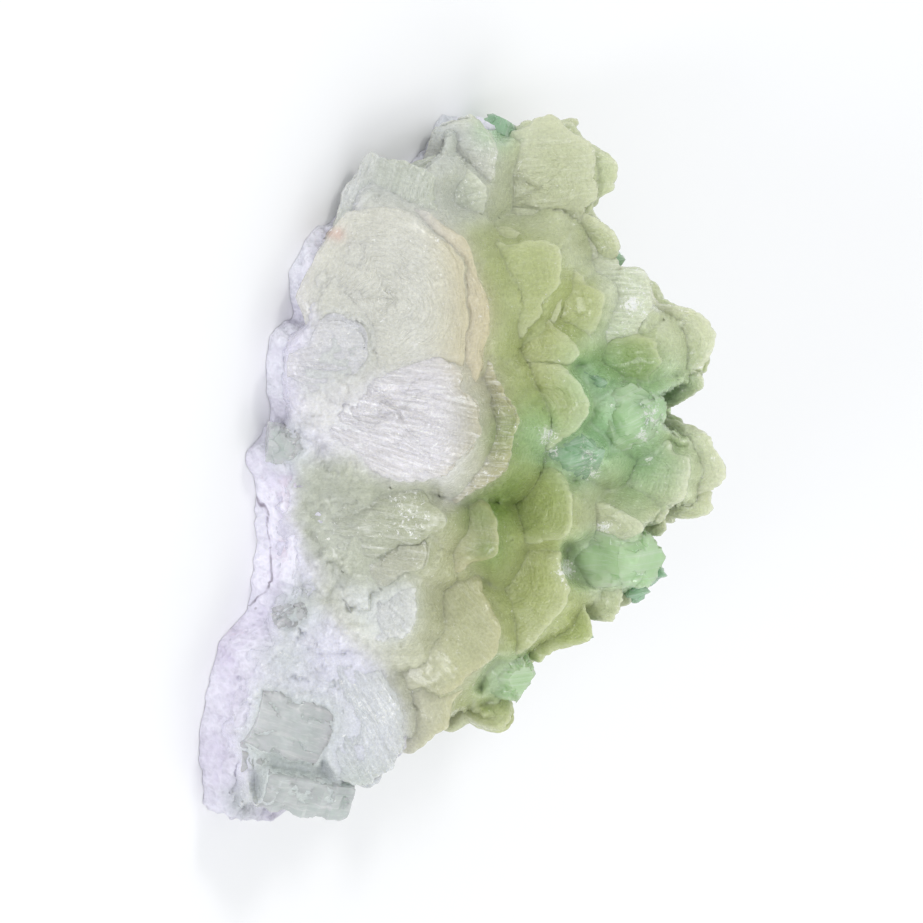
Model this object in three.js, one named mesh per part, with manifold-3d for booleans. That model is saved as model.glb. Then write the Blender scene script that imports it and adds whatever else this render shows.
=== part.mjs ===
// An apophyllite and stilbite cluster on its chalcedony matrix, in millimetres.
// The matrix lies flat on Z = 0. Stilbite grows from it in sheaves of thin leaves, and
// glassy apophyllite stands between them.
import * as THREE from "three";
import { ParametricGeometry } from "three/addons/geometries/ParametricGeometry.js";
import { mergeVertices } from "three/addons/utils/BufferGeometryUtils.js";
import Module from "manifold-3d";

const wasm = await Module();
wasm.setup();

const { degToRad, lerp, smoothstep } = THREE.MathUtils;

// ---------------------------------------------------------------- driving dimensions

const CLEARANCE = 0.3; // left between two crystals that touch
const MERGE_DISTANCE = 1e-3;

// The crystals are set out on a front drawing of the specimen: across to the right, up,
// and out of the sheet towards the eye. The sheet leans back by DRAWING_TILT and is turned
// by DRAWING_TURN, so that the matrix, along the drawing's left edge, lies on the ground.
const DRAWING_TILT = 35;
const DRAWING_TURN = 106;
const DRAWING_ORIGIN = new THREE.Vector3(-3, 1.6, 11);

// Matrix: its footprint on the ground, with the height of the rim at each point, clockwise
// from the right-hand front corner.
const MATRIX_OUTLINE = [
  [55.5, -22.5, 5],
  [49, -27, 7],
  [41, -30, 9],
  [31, -30, 9],
  [26, -26, 9],
  [15, -28, 7],
  [8, -33, 6],
  [3, -36, 6],
  [-3, -34, 5],
  [-9, -38, 6],
  [-14, -40, 7],
  [-18, -35, 7],
  [-24, -39, 7],
  [-31, -36, 3],
  [-43, -20, 3],
  [-47.5, -15, 5],
  [-53, -14, 6],
  [-54.5, -9, 7],
  [-52, -2, 6],
  [-45, 8, 8],
  [-38, 12, 9],
  [-29, 20, 9],
  [-21, 19, 10],
  [-12, 24, 10],
  [-2, 22, 11],
  [8, 24, 10],
  [17, 18, 10],
  [26, 18, 9],
  [35, 9, 9],
  [43, 4, 8],
  [48, -4, 6],
  [54, -10, 5],
  [55.5, -16, 5],
];
const MATRIX_CENTRE = [0, 8];
const MATRIX_RINGS = [1, 0.9, 0.74, 0.52, 0.28]; // rings of the top, as shares of the outline
const SHOULDER_RISE = 3; // from the rim to the edge of the top
const FRONT_HEIGHT = 9; // the top towards the front
const RIDGE_HEIGHT = 15; // the top along the back
const RIDGE_HALF_LENGTH = 72; // where the ridge would run out, to either side of the middle
const SLOPE_START = -12; // the top climbs from the front to the ridge between these two
const SLOPE_END = 12;
const MATRIX_ROUGHNESS = 0.8;

// Section of a leaf of stilbite, as shares of its half-width and half-thickness.
const LEAF_SECTION = [
  [1, 0],
  [0.72, 1],
  [-0.72, 1],
  [-1, 0],
  [-0.72, -1],
  [0.72, -1],
];
const LEAF_ENDING = [0, 0.55, 0.87, 1]; // rings of a leaf's rounded end, as shares of its length
const LEAF_TIP_THICKNESS = 0.45; // share of the leaf's thickness left at its tip
const LAYER_SHRINK = 0.06; // each leaf behind the front one reaches less far by this share
const LAYER_STEP = 0.55; // distance between layers at the root, in leaf thicknesses

const LEAF_DEFAULTS = {
  waist: 0.6, // width at the root, as a share of the full width
  shoulder: 0.5, // where the rounded end begins, as a share of the length
  bluntness: 2.2, // 1 for a point, 2 for an ellipse, more for a squared end
  thickness: 3.6,
  turn: 0, // degrees about its own length, away from facing the eye
  layers: 1,
  splay: 4, // degrees between one layer and the next
};

const PRISM_DEFAULTS = {
  turn: 0,
  point: 1.1, // steepness of the pyramid, height over reach
  top: 0, // share of the pyramid's height that a flat top cuts off
  flatness: 1, // depth over width
};

// ---------------------------------------------------------------- the crystals

const CREAM = { color: 0xcfcdbb, roughness: 0.42 };
const GREY = { color: 0xc9cac6, roughness: 0.42 };
const OLIVE = { color: 0xa6b07c, roughness: 0.42 };
const SPRING = { color: 0xb4c08f, roughness: 0.42 };
const LILAC = { color: 0xe1dcee, roughness: 0.75 };
const MINT = { color: 0x9bc3a0, roughness: 0.12 };
const TEAL = { color: 0x83b39c, roughness: 0.12 };
const FROST = { color: 0xc4cfc8, roughness: 0.15 };

// One leaf: where its middle line leaves the matrix (a place on the drawing and a height
// above the ground), its tip (on the drawing, with the distance out of the sheet), and its
// half-widths on the left and right of that line.
function leaf(root, foot, tip, [left, right], shape = {}) {
  return { ...LEAF_DEFAULTS, root, foot, tip, left, right, ...shape };
}

// From the front of the drawing to the back: a later crystal gives way to an earlier one.
const CRYSTALS = [
  sheaf("small_left_leaf", GREY, [
    leaf([-25, 15.5], 6, [-16.2, 15, 31.5], [2.4, 2.6], { thickness: 2.4, turn: 10 }),
  ]),
  sheaf("striated_front_sheaf", CREAM, [
    leaf([-23, 11], 5, [2.8, 5, 31], [8, 6.5], { thickness: 5, shoulder: 0.8, layers: 2, splay: 7 }),
    leaf([-15, 7], 6, [7.8, 6.5, 26], [10.5, 9.5], { shoulder: 0.45, layers: 2, splay: 8 }),
  ]),
  sheaf("great_front_sheaf", CREAM, [
    leaf([-22, 20], 6, [1.2, 26, 28], [14, 10.5], { waist: 0.4, thickness: 3.5, shoulder: 0.42 }),
    leaf([-21, 20], 6, [4.9, 25, 26], [12.5, 12], { waist: 0.4, shoulder: 0.45, layers: 3 }),
  ]),
  sheaf("middle_left_sheaf", GREY, [
    leaf([-24, -4.5], 3, [-2.2, -6.5, 27], [6, 6], { waist: 0.9, thickness: 5, shoulder: 0.7, layers: 2 }),
    leaf([-22, -9], 4, [-5, -12, 26], [4, 4], { waist: 0.9, thickness: 4, shoulder: 0.75 }),
  ]),
  sheaf("middle_blade", CREAM, [
    leaf([-16, -7], 5, [4.7, -10, 20], [7, 5.5], { shoulder: 0.55, layers: 2 }),
  ]),
  sheaf("small_white_fan", GREY, [
    leaf([-17, -15], 9, [-8.2, -23, 25], [4.5, 3.2], { waist: 0.5, thickness: 2, shoulder: 0.8, turn: 12 }),
  ]),
  sheaf("lower_left_sheaf", GREY, [
    leaf([-24.5, -23], 6, [-12.5, -45.8, 22], [5.5, 5.5], { waist: 0.8, thickness: 5, shoulder: 0.7, layers: 2 }),
    leaf([-19, -24], 8, [-10.5, -43.5, 18], [4.5, 4], { thickness: 3, shoulder: 0.7 }),
  ]),
  sheaf("lower_middle_sheaf", CREAM, [
    leaf([-17, -12], 6, [1.8, -31.5, 17], [10, 8], { thickness: 4, layers: 2 }),
    leaf([-19, -17], 6, [-6, -41, 15], [9, 6], { shoulder: 0.6 }),
  ]),
  sheaf("upper_left_blade", GREY, [
    leaf([-18, 23], 5, [-10.2, 46.6, 24], [4.6, 7], { waist: 1.5, thickness: 5, shoulder: 0.85, bluntness: 4 }),
  ]),
  sheaf("curved_upper_blade", GREY, [
    leaf([-10, 39], 3, [1.6, 41.5, 15], [3.6, 4.5], { thickness: 3, shoulder: 0.6, layers: 2 }),
  ]),
  sheaf("top_left_blade", GREY, [
    leaf([-4.5, 47], 2.5, [5.6, 45.5, 12], [5, 4.5], { waist: 0.8, shoulder: 0.55, layers: 2, turn: -8 }),
    leaf([-3, 47], 3, [3.2, 51.6, 9], [2.5, 3], { waist: 0.9, shoulder: 0.75 }),
  ]),
  sheaf("centre_upper_sheaf", OLIVE, [
    leaf([-9, 26], 6, [14.8, 28, 17], [7.5, 7], { layers: 2, turn: -6 }),
    leaf([-4, 25], 6, [21.9, 25.5, 13], [5, 6], { shoulder: 0.6, layers: 2, turn: 6 }),
  ]),
  sheaf("centre_lower_sheaf", OLIVE, [
    leaf([-7, 9], 6, [18.2, 9.5, 19], [5.5, 5.5], { shoulder: 0.55, layers: 2, turn: 6 }),
    leaf([-7, 18], 6, [16.8, 18.5, 16], [5.5, 5.5], { shoulder: 0.55, layers: 2, turn: -10 }),
  ]),
  sheaf("crevice_blade", OLIVE, [
    leaf([-5, -4], 6, [16.8, -6, 18], [5.2, 5.2], { shoulder: 0.55, layers: 2, turn: -8 }),
  ]),
  prism("apophyllite_centre", TEAL, [4, 3], 12, [21, 2.5, 16], 8, { turn: 30, point: 1.2, top: 0.1 }),
  prism("apophyllite_right_point", MINT, [7, 6], 12, [30.2, 9.6, 12], 9, { turn: 20, top: 0.12 }),
  prism("apophyllite_middle_point", TEAL, [5, 12], 12, [22, 13, 14], 6, { turn: 40, point: 1.2 }),
  sheaf("olive_right_blade", OLIVE, [
    leaf([2, 16], 8, [30.8, 15.6, 10], [4.5, 4.5], { shoulder: 0.7, layers: 2, turn: 10 }),
  ]),
  sheaf("bright_striated_blade", SPRING, [
    leaf([2, 26], 8, [28.2, 25, 8], [5.2, 5], { waist: 0.8, thickness: 5, shoulder: 0.88, layers: 2, turn: -12 }),
  ]),
  sheaf("right_fan", SPRING, [
    leaf([10, 18], 6, [38, 19.5, 3], [6.5, 6], { waist: 0.4, thickness: 3.5, shoulder: 0.65, layers: 2, turn: 8 }),
    leaf([10, 15], 6, [36.4, 13, 1], [3, 3], { thickness: 4, shoulder: 0.75 }),
  ]),
  sheaf("pale_upper_blade", GREY, [
    leaf([9, 31], 6, [23, 34.2, 7], [3.4, 3.6], { shoulder: 0.55, turn: 10 }),
  ]),
  sheaf("top_sheaf", SPRING, [
    leaf([0, 42], 3, [21.4, 43.6, 5], [7, 8], { thickness: 3.5, turn: 4 }),
    leaf([2, 43], 4, [22.9, 43, 3], [6.5, 6], { shoulder: 0.55, layers: 2 }),
    leaf([4, 45], 4, [17.8, 52.4, 1], [3, 3], { waist: 0.9, thickness: 4, bluntness: 1.3 }),
    leaf([0, 37], 4, [18, 33, 5], [5.5, 4.5], { layers: 2 }),
  ]),
  prism("apophyllite_top_point", TEAL, [2, 44], 4, [6.5, 52.6, 2], 7, { turn: 15, point: 1.0, top: 0.25 }),
  prism("apophyllite_upper_right_point", TEAL, [13, 32], 10, [24.8, 31.5, 3], 7, { turn: 20 }),
  sheaf("lower_right_blade", SPRING, [
    leaf([0, -8], 8, [26.3, -8.8, 13], [3, 2.5], { shoulder: 0.75, turn: 14 }),
  ]),
  sheaf("large_right_blade", SPRING, [
    leaf([6, -1], 8, [35, -2, 9], [5.5, 5], { thickness: 4, shoulder: 0.68, turn: -5 }),
    leaf([8, 1], 8, [39.2, -0.8, 5], [7.5, 4.5], { shoulder: 0.62, layers: 2, turn: 5 }),
    leaf([6, -3], 8, [38.2, -5.6, 3], [2.6, 2], { shoulder: 0.85 }),
    leaf([5, -5], 8, [31.6, -8.6, 5], [2.6, 1.6], { shoulder: 0.9, bluntness: 4 }),
  ]),
  prism("apophyllite_lower_right_block", MINT, [5, -11], 13, [28.6, -13.4, 10], 8, { turn: 10, top: 0.45 }),
  prism("apophyllite_right_tip", TEAL, [9, -11], 13, [31, -15.8, 7], 6, { turn: 40, point: 1.6 }),
  sheaf("pale_lower_blade", SPRING, [
    leaf([-1, -15], 8, [25.5, -20.5, 9], [3.6, 3.2], { shoulder: 0.72, layers: 2, turn: 12 }),
  ]),
  prism("apophyllite_small_tip", TEAL, [8, -15], 12, [28.5, -18.2, 6], 3.6, { turn: 35, point: 1.6 }),
  sheaf("large_olive_blade", OLIVE, [
    leaf([-8, -14], 6, [15.4, -17.5, 14], [9, 9.5], { thickness: 4, layers: 2, turn: -4 }),
  ]),
  sheaf("lower_edge_sheaf", OLIVE, [
    leaf([-4, -15], 6, [19.2, -24, 10], [5.5, 4.5], { shoulder: 0.6, layers: 3 }),
  ]),
  prism("apophyllite_lower_sliver", TEAL, [3, -17], 12, [20, -25, 7], 4, { turn: 20, point: 1.4 }),
  prism("apophyllite_bottom_green", MINT, [-5, -24], 8, [9.2, -31, 9], 7, { turn: 25, point: 1.0, top: 0.4 }),
  sheaf("bottom_tip_blade", OLIVE, [
    leaf([-8, -26], 6, [7.2, -38, 7], [4, 3.5], { shoulder: 0.75, bluntness: 1.8, layers: 2, turn: -10 }),
  ]),
  prism("apophyllite_left_block", FROST, [-31, -36], 8, [-20.5, -39.5, 19], 9, { top: 0.9, flatness: 0.8 }),
  prism("apophyllite_bottom_block", MINT, [-29.5, -46.2], 10, [-16.6, -47.8, 16], 6, { turn: 33, top: 0.8 }),
  prism("apophyllite_small_upper", FROST, [-27, -22.5], 6.5, [-22.5, -20.5, 22], 3.6, { turn: 20, top: 0.3 }),
  prism("apophyllite_small_lower", FROST, [-32, -42], 7, [-27.5, -42.5, 21], 4, { turn: 25, top: 0.3 }),
  prism("apophyllite_small_left", FROST, [-28.5, 4], 3, [-23, 3.5, 26], 5, { turn: 15, top: 0.3 }),
  sheaf("rear_top_sheaf", SPRING, [
    leaf([8, 31], 6, [23.5, 29.5, -11], [8, 7], { thickness: 4.5, layers: 2 }),
  ]),
  sheaf("rear_left_sheaf", OLIVE, [
    leaf([7, 13], 6, [31, 8.8, -12], [9, 9], { thickness: 5, layers: 2 }),
  ]),
  sheaf("rear_middle_sheaf", OLIVE, [
    leaf([4, -5], 6, [26, -10.5, -12], [9, 8], { thickness: 5, layers: 2 }),
  ]),
  sheaf("rear_right_sheaf", OLIVE, [
    leaf([-4, -20], 6, [13, -25.5, -9], [8, 7], { thickness: 5, layers: 2 }),
  ]),
  sheaf("right_end_sheaf", OLIVE, [
    leaf([-11, -30], 6, [1.5, -36, -7], [7, 6], { thickness: 4.5, shoulder: 0.6, layers: 2 }),
  ]),
];

function sheaf(name, look, leaves) {
  return { name, look, solid: (extra) => sheafSolid(leaves, extra) };
}

function prism(name, look, root, foot, tip, across, shape = {}) {
  const crystal = { ...PRISM_DEFAULTS, root, foot, tip, across, ...shape };
  return { name, look, solid: (extra) => prismSolid(crystal, extra) };
}

// ---------------------------------------------------------------- the drawing's frame

const sheet = sheetFrame();

function sheetFrame() {
  const tilt = degToRad(DRAWING_TILT);
  const turn = degToRad(DRAWING_TURN);
  const level = new THREE.Vector3(1, 0, 0);
  const steep = new THREE.Vector3(0, Math.sin(tilt), Math.cos(tilt));
  const eye = new THREE.Vector3(0, -Math.cos(tilt), Math.sin(tilt));
  const across = level.clone().multiplyScalar(Math.cos(turn)).addScaledVector(steep, Math.sin(turn));
  const up = eye.clone().cross(across);
  return { across, up, eye };
}

// A point of the drawing, in the part's frame.
function place([across, up, out]) {
  const point = DRAWING_ORIGIN.clone().addScaledVector(sheet.across, across);
  return point.addScaledVector(sheet.up, up).addScaledVector(sheet.eye, out);
}

// A place on the drawing, at a given height above the ground.
function placeAtHeight([across, up], height) {
  const onSheet = place([across, up, 0]);
  return onSheet.addScaledVector(sheet.eye, (height - onSheet.z) / sheet.eye.z);
}

// The frame of a crystal that grows from root to tip with one face turned to the eye.
function crystalFrame(crystal) {
  const root = placeAtHeight(crystal.root, crystal.foot);
  const growth = place(crystal.tip).sub(root);
  const length = growth.length();
  growth.normalize();
  const side = growth.clone().cross(sheet.eye).normalize();
  side.applyAxisAngle(growth, degToRad(crystal.turn));
  return { root, growth, side, face: side.clone().cross(growth), length };
}

// ---------------------------------------------------------------- solids

// A closed geometry as a solid that can be joined and cut.
function solidOf(geometry) {
  const bare = geometry.clone();
  bare.deleteAttribute("normal");
  bare.deleteAttribute("uv");
  const merged = mergeVertices(bare, MERGE_DISTANCE);
  const corners = merged.index.array;
  const triVerts = [];
  for (let i = 0; i < corners.length; i += 3) {
    const [a, b, c] = [corners[i], corners[i + 1], corners[i + 2]];
    if (a !== b && b !== c && c !== a) triVerts.push(a, b, c);
  }
  const vertProperties = merged.attributes.position.array;
  const mesh = new wasm.Mesh({ numProp: 3, vertProperties, triVerts: Uint32Array.from(triVerts) });
  return new wasm.Manifold(mesh);
}

function largestPiece(solid) {
  return solid.decompose().reduce((best, piece) => (piece.volume() > best.volume() ? piece : best));
}

function geometryOf(solid) {
  const mesh = solid.getMesh();
  const geometry = new THREE.BufferGeometry();
  geometry.setAttribute("position", new THREE.BufferAttribute(Float32Array.from(mesh.vertProperties), 3));
  geometry.setIndex(Array.from(mesh.triVerts));
  geometry.computeVertexNormals();
  return geometry;
}

// ---------------------------------------------------------------- matrix

// A repeatable roughness, from about -1.5 to 1.5, at a point of the crust.
function rough({ x, y, z }) {
  return Math.sin(0.71 * x + 1.3 * z) * Math.cos(0.63 * y - 0.4 * x) + 0.5 * Math.sin(1.7 * x - 1.1 * y + z);
}

// Height of the top of the matrix, away from its rim.
function topHeight(x, y) {
  const ridge = RIDGE_HEIGHT * (1 - (x / RIDGE_HALF_LENGTH) ** 2);
  return lerp(FRONT_HEIGHT, ridge, smoothstep(y, SLOPE_START, SLOPE_END));
}

// The crust: a flat underside, a rough broken side, and a top that climbs to the back.
function matrixSolid(extra) {
  const sides = MATRIX_OUTLINE.length;
  const centre = new THREE.Vector3(...MATRIX_CENTRE, 0);
  const shares = [0, 1, 1, ...MATRIX_RINGS, 0];
  const surface = (u, v, target) => {
    const ring = Math.round(v * (shares.length - 1));
    const [x, y, rim] = MATRIX_OUTLINE[(sides - Math.round(u * sides)) % sides];
    const outward = new THREE.Vector3(x, y, 0).sub(centre);
    target.copy(centre).addScaledVector(outward, shares[ring]);
    outward.normalize();
    if (ring === 2) {
      target.z = rim / 2;
      target.addScaledVector(outward, MATRIX_ROUGHNESS * 0.5 * (rough(target) - 1));
    }
    if (ring > 2) {
      const inward = 1 - shares[ring];
      const shoulder = rim + SHOULDER_RISE * smoothstep(inward, 0, 0.15);
      target.z = lerp(shoulder, topHeight(target.x, target.y), smoothstep(inward, 0.1, 0.6));
    }
    if (ring > 3) target.z += MATRIX_ROUGHNESS * rough(target);
    if (ring > 0 && ring < 4) target.addScaledVector(outward, extra);
    target.z += ring < 2 ? -extra : extra;
  };
  return solidOf(new ParametricGeometry(surface, sides, shares.length - 1));
}

// ---------------------------------------------------------------- stilbite

// One thin leaf: a tabular blade that widens from its root and closes in a rounded end.
function leafSolid(frame, shape, extra) {
  const { shoulder, bluntness, waist, thickness } = shape;
  const sides = LEAF_SECTION.length;
  const rings = [
    { along: 0, width: 0, depth: 0 },
    { along: 0, width: waist, depth: 1 },
    ...LEAF_ENDING.map((share) => {
      const along = lerp(shoulder, 1, share);
      const width = (1 - share ** bluntness) ** (1 / bluntness);
      return { along, width, depth: share < 1 ? lerp(1, LEAF_TIP_THICKNESS, along ** 3) : 0 };
    }),
  ];
  const surface = (u, v, target) => {
    const { along, width, depth } = rings[Math.round(v * (rings.length - 1))];
    const [side, face] = LEAF_SECTION[(sides - Math.round(u * sides)) % sides];
    const halfWidth = (side > 0 ? shape.right : shape.left) + extra;
    target.copy(frame.root).addScaledVector(frame.growth, along * (frame.length + 2 * extra) - extra);
    target.addScaledVector(frame.side, side * halfWidth * width);
    target.addScaledVector(frame.face, face * (thickness / 2 + extra) * depth);
  };
  return solidOf(new ParametricGeometry(surface, sides, rings.length - 1));
}

// The frame of the layer packed behind a leaf: set back at the root and leaning away from
// the eye, and no longer on the drawing than the leaf in front.
function layerFrame(front, shape, layer) {
  const lean = degToRad(shape.splay * layer);
  const rise = Math.asin(front.growth.dot(sheet.eye));
  const reach = (Math.cos(rise) / Math.cos(rise - lean)) * (1 - LAYER_SHRINK * layer);
  const growth = front.growth.clone().applyAxisAngle(front.side, -lean);
  return {
    root: front.root.clone().addScaledVector(front.face, -LAYER_STEP * shape.thickness * layer),
    growth,
    side: front.side,
    face: front.side.clone().cross(growth),
    length: front.length * reach,
  };
}

function sheafSolid(leaves, extra) {
  const solids = [];
  for (const shape of leaves) {
    const front = crystalFrame(shape);
    for (let layer = 0; layer < shape.layers; layer += 1) {
      const narrower = 1 - LAYER_SHRINK * layer;
      const layered = { ...shape, left: shape.left * narrower, right: shape.right * narrower };
      solids.push(leafSolid(layerFrame(front, shape, layer), layered, extra));
    }
  }
  return wasm.Manifold.union(solids);
}

// ---------------------------------------------------------------- apophyllite

// A square prism whose corners are cut back to a point, or to a small square top.
function prismSolid(crystal, extra) {
  const { root, growth, side, face, length } = crystalFrame(crystal);
  const height = length + 2 * extra;
  const across = crystal.across + 2 * extra;
  const pyramidHeight = height + crystal.point * across * 2;
  const prismShape = new THREE.BoxGeometry(across, height, across * crystal.flatness);
  const pyramid = new THREE.ConeGeometry(pyramidHeight / crystal.point, pyramidHeight, 4);
  pyramid.translate(0, (height - pyramidHeight) / 2 + crystal.top * across * crystal.point, 0);
  const middle = root.addScaledVector(growth, height / 2 - extra);
  const frame = new THREE.Matrix4().makeBasis(side, growth, face).setPosition(middle);
  return solidOf(prismShape.applyMatrix4(frame)).intersect(solidOf(pyramid.applyMatrix4(frame)));
}

// ---------------------------------------------------------------- the specimen

const specimen = new THREE.Group();

function addPiece(name, solid, look) {
  const mesh = new THREE.Mesh(geometryOf(solid), new THREE.MeshStandardMaterial({ ...look, metalness: 0 }));
  mesh.name = name;
  specimen.add(mesh);
}

addPiece("chalcedony_matrix", matrixSolid(0), LILAC);
let taken = matrixSolid(CLEARANCE);
for (const crystal of CRYSTALS) {
  addPiece(crystal.name, largestPiece(crystal.solid(0).subtract(taken)), crystal.look);
  taken = taken.add(crystal.solid(CLEARANCE));
}

export default specimen;
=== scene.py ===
"""Apophyllite cluster: stilbite sheaves and green apophyllite on a chalcedony crust.

Lengths in the tables are millimetres, as in the solid model. Meshes are written in metres.
"""

import bpy
import numpy as np
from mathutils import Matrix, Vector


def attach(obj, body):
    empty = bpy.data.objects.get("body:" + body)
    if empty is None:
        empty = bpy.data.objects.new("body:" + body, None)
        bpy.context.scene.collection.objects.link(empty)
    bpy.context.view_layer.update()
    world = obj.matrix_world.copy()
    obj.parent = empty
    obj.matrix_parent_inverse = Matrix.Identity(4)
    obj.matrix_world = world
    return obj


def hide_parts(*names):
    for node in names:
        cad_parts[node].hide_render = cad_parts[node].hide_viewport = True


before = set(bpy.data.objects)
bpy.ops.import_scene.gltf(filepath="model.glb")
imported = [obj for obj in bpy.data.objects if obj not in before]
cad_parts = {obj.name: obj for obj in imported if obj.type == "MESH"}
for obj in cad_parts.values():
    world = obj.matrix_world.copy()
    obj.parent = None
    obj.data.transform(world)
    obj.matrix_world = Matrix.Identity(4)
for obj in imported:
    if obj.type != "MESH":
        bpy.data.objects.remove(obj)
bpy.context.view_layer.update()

MM = 0.001
LOWEST_POINT = 0.35  # crystals stay this far above the flat underside

# ---------------------------------------------------------------- the drawing of the crystals
# across and up lie on a sheet that faces the viewer, out comes towards the viewer

DRAWING_TILT = np.radians(35)
DRAWING_TURN = np.radians(106)
DRAWING_ORIGIN = np.array([-3.0, 1.6, 11.0])
LEVEL = np.array([1.0, 0.0, 0.0])
STEEP = np.array([0.0, np.sin(DRAWING_TILT), np.cos(DRAWING_TILT)])
EYE = np.array([0.0, -np.cos(DRAWING_TILT), np.sin(DRAWING_TILT)])
ACROSS = LEVEL * np.cos(DRAWING_TURN) + STEEP * np.sin(DRAWING_TURN)
UP = np.cross(EYE, ACROSS)


def place(across, up, out):
    """Point of the drawing: its origin plus across, up and out along the three directions."""
    return DRAWING_ORIGIN + ACROSS * across + UP * up + EYE * out


def place_at_height(across, up, height):
    """Point of the drawing slid along the line of sight until it is that high."""
    on_sheet = place(across, up, 0)
    return on_sheet + EYE * (height - on_sheet[2]) / EYE[2]


def on_drawing(points):
    """Across and up of points: their offsets from the origin along the two directions."""
    offset = points - DRAWING_ORIGIN
    return offset @ ACROSS, offset @ UP


# ---------------------------------------------------------------- the crystals

LEAF_SHAPE = {
    "thickness": 3.6,
    "waist": 0.6,
    "shoulder": 0.5,
    "bluntness": 2.2,
    "turn": 0,
    "layers": 1,
    "splay": 4,
}
LEAF_TIP_THICKNESS = 0.45
LAYER_SHRINK = 0.06
LAYER_STEP = 0.55
PILLOW_POWER = 3.0  # the higher, the flatter the faces and the squarer the rim
BACK_DEPTH = 1.6  # how much deeper a leaf is behind than in front
BACK_BREAKS = 3.0  # and how much rougher
PRISM_SHAPE = {"turn": 0, "point": 1.1, "top": 0, "flatness": 1}


def leaf(root, foot, tip, halves, **shape):
    """Values of a leaf: where it starts and ends, and its half widths above and below."""
    return {**LEAF_SHAPE, "root": root, "foot": foot, "tip": tip, "halves": halves, **shape}


def prism(root, foot, tip, across, **shape):
    """Values of a prism: where it starts and ends, and its width."""
    return {**PRISM_SHAPE, "root": root, "foot": foot, "tip": tip, "across": across, **shape}


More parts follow.
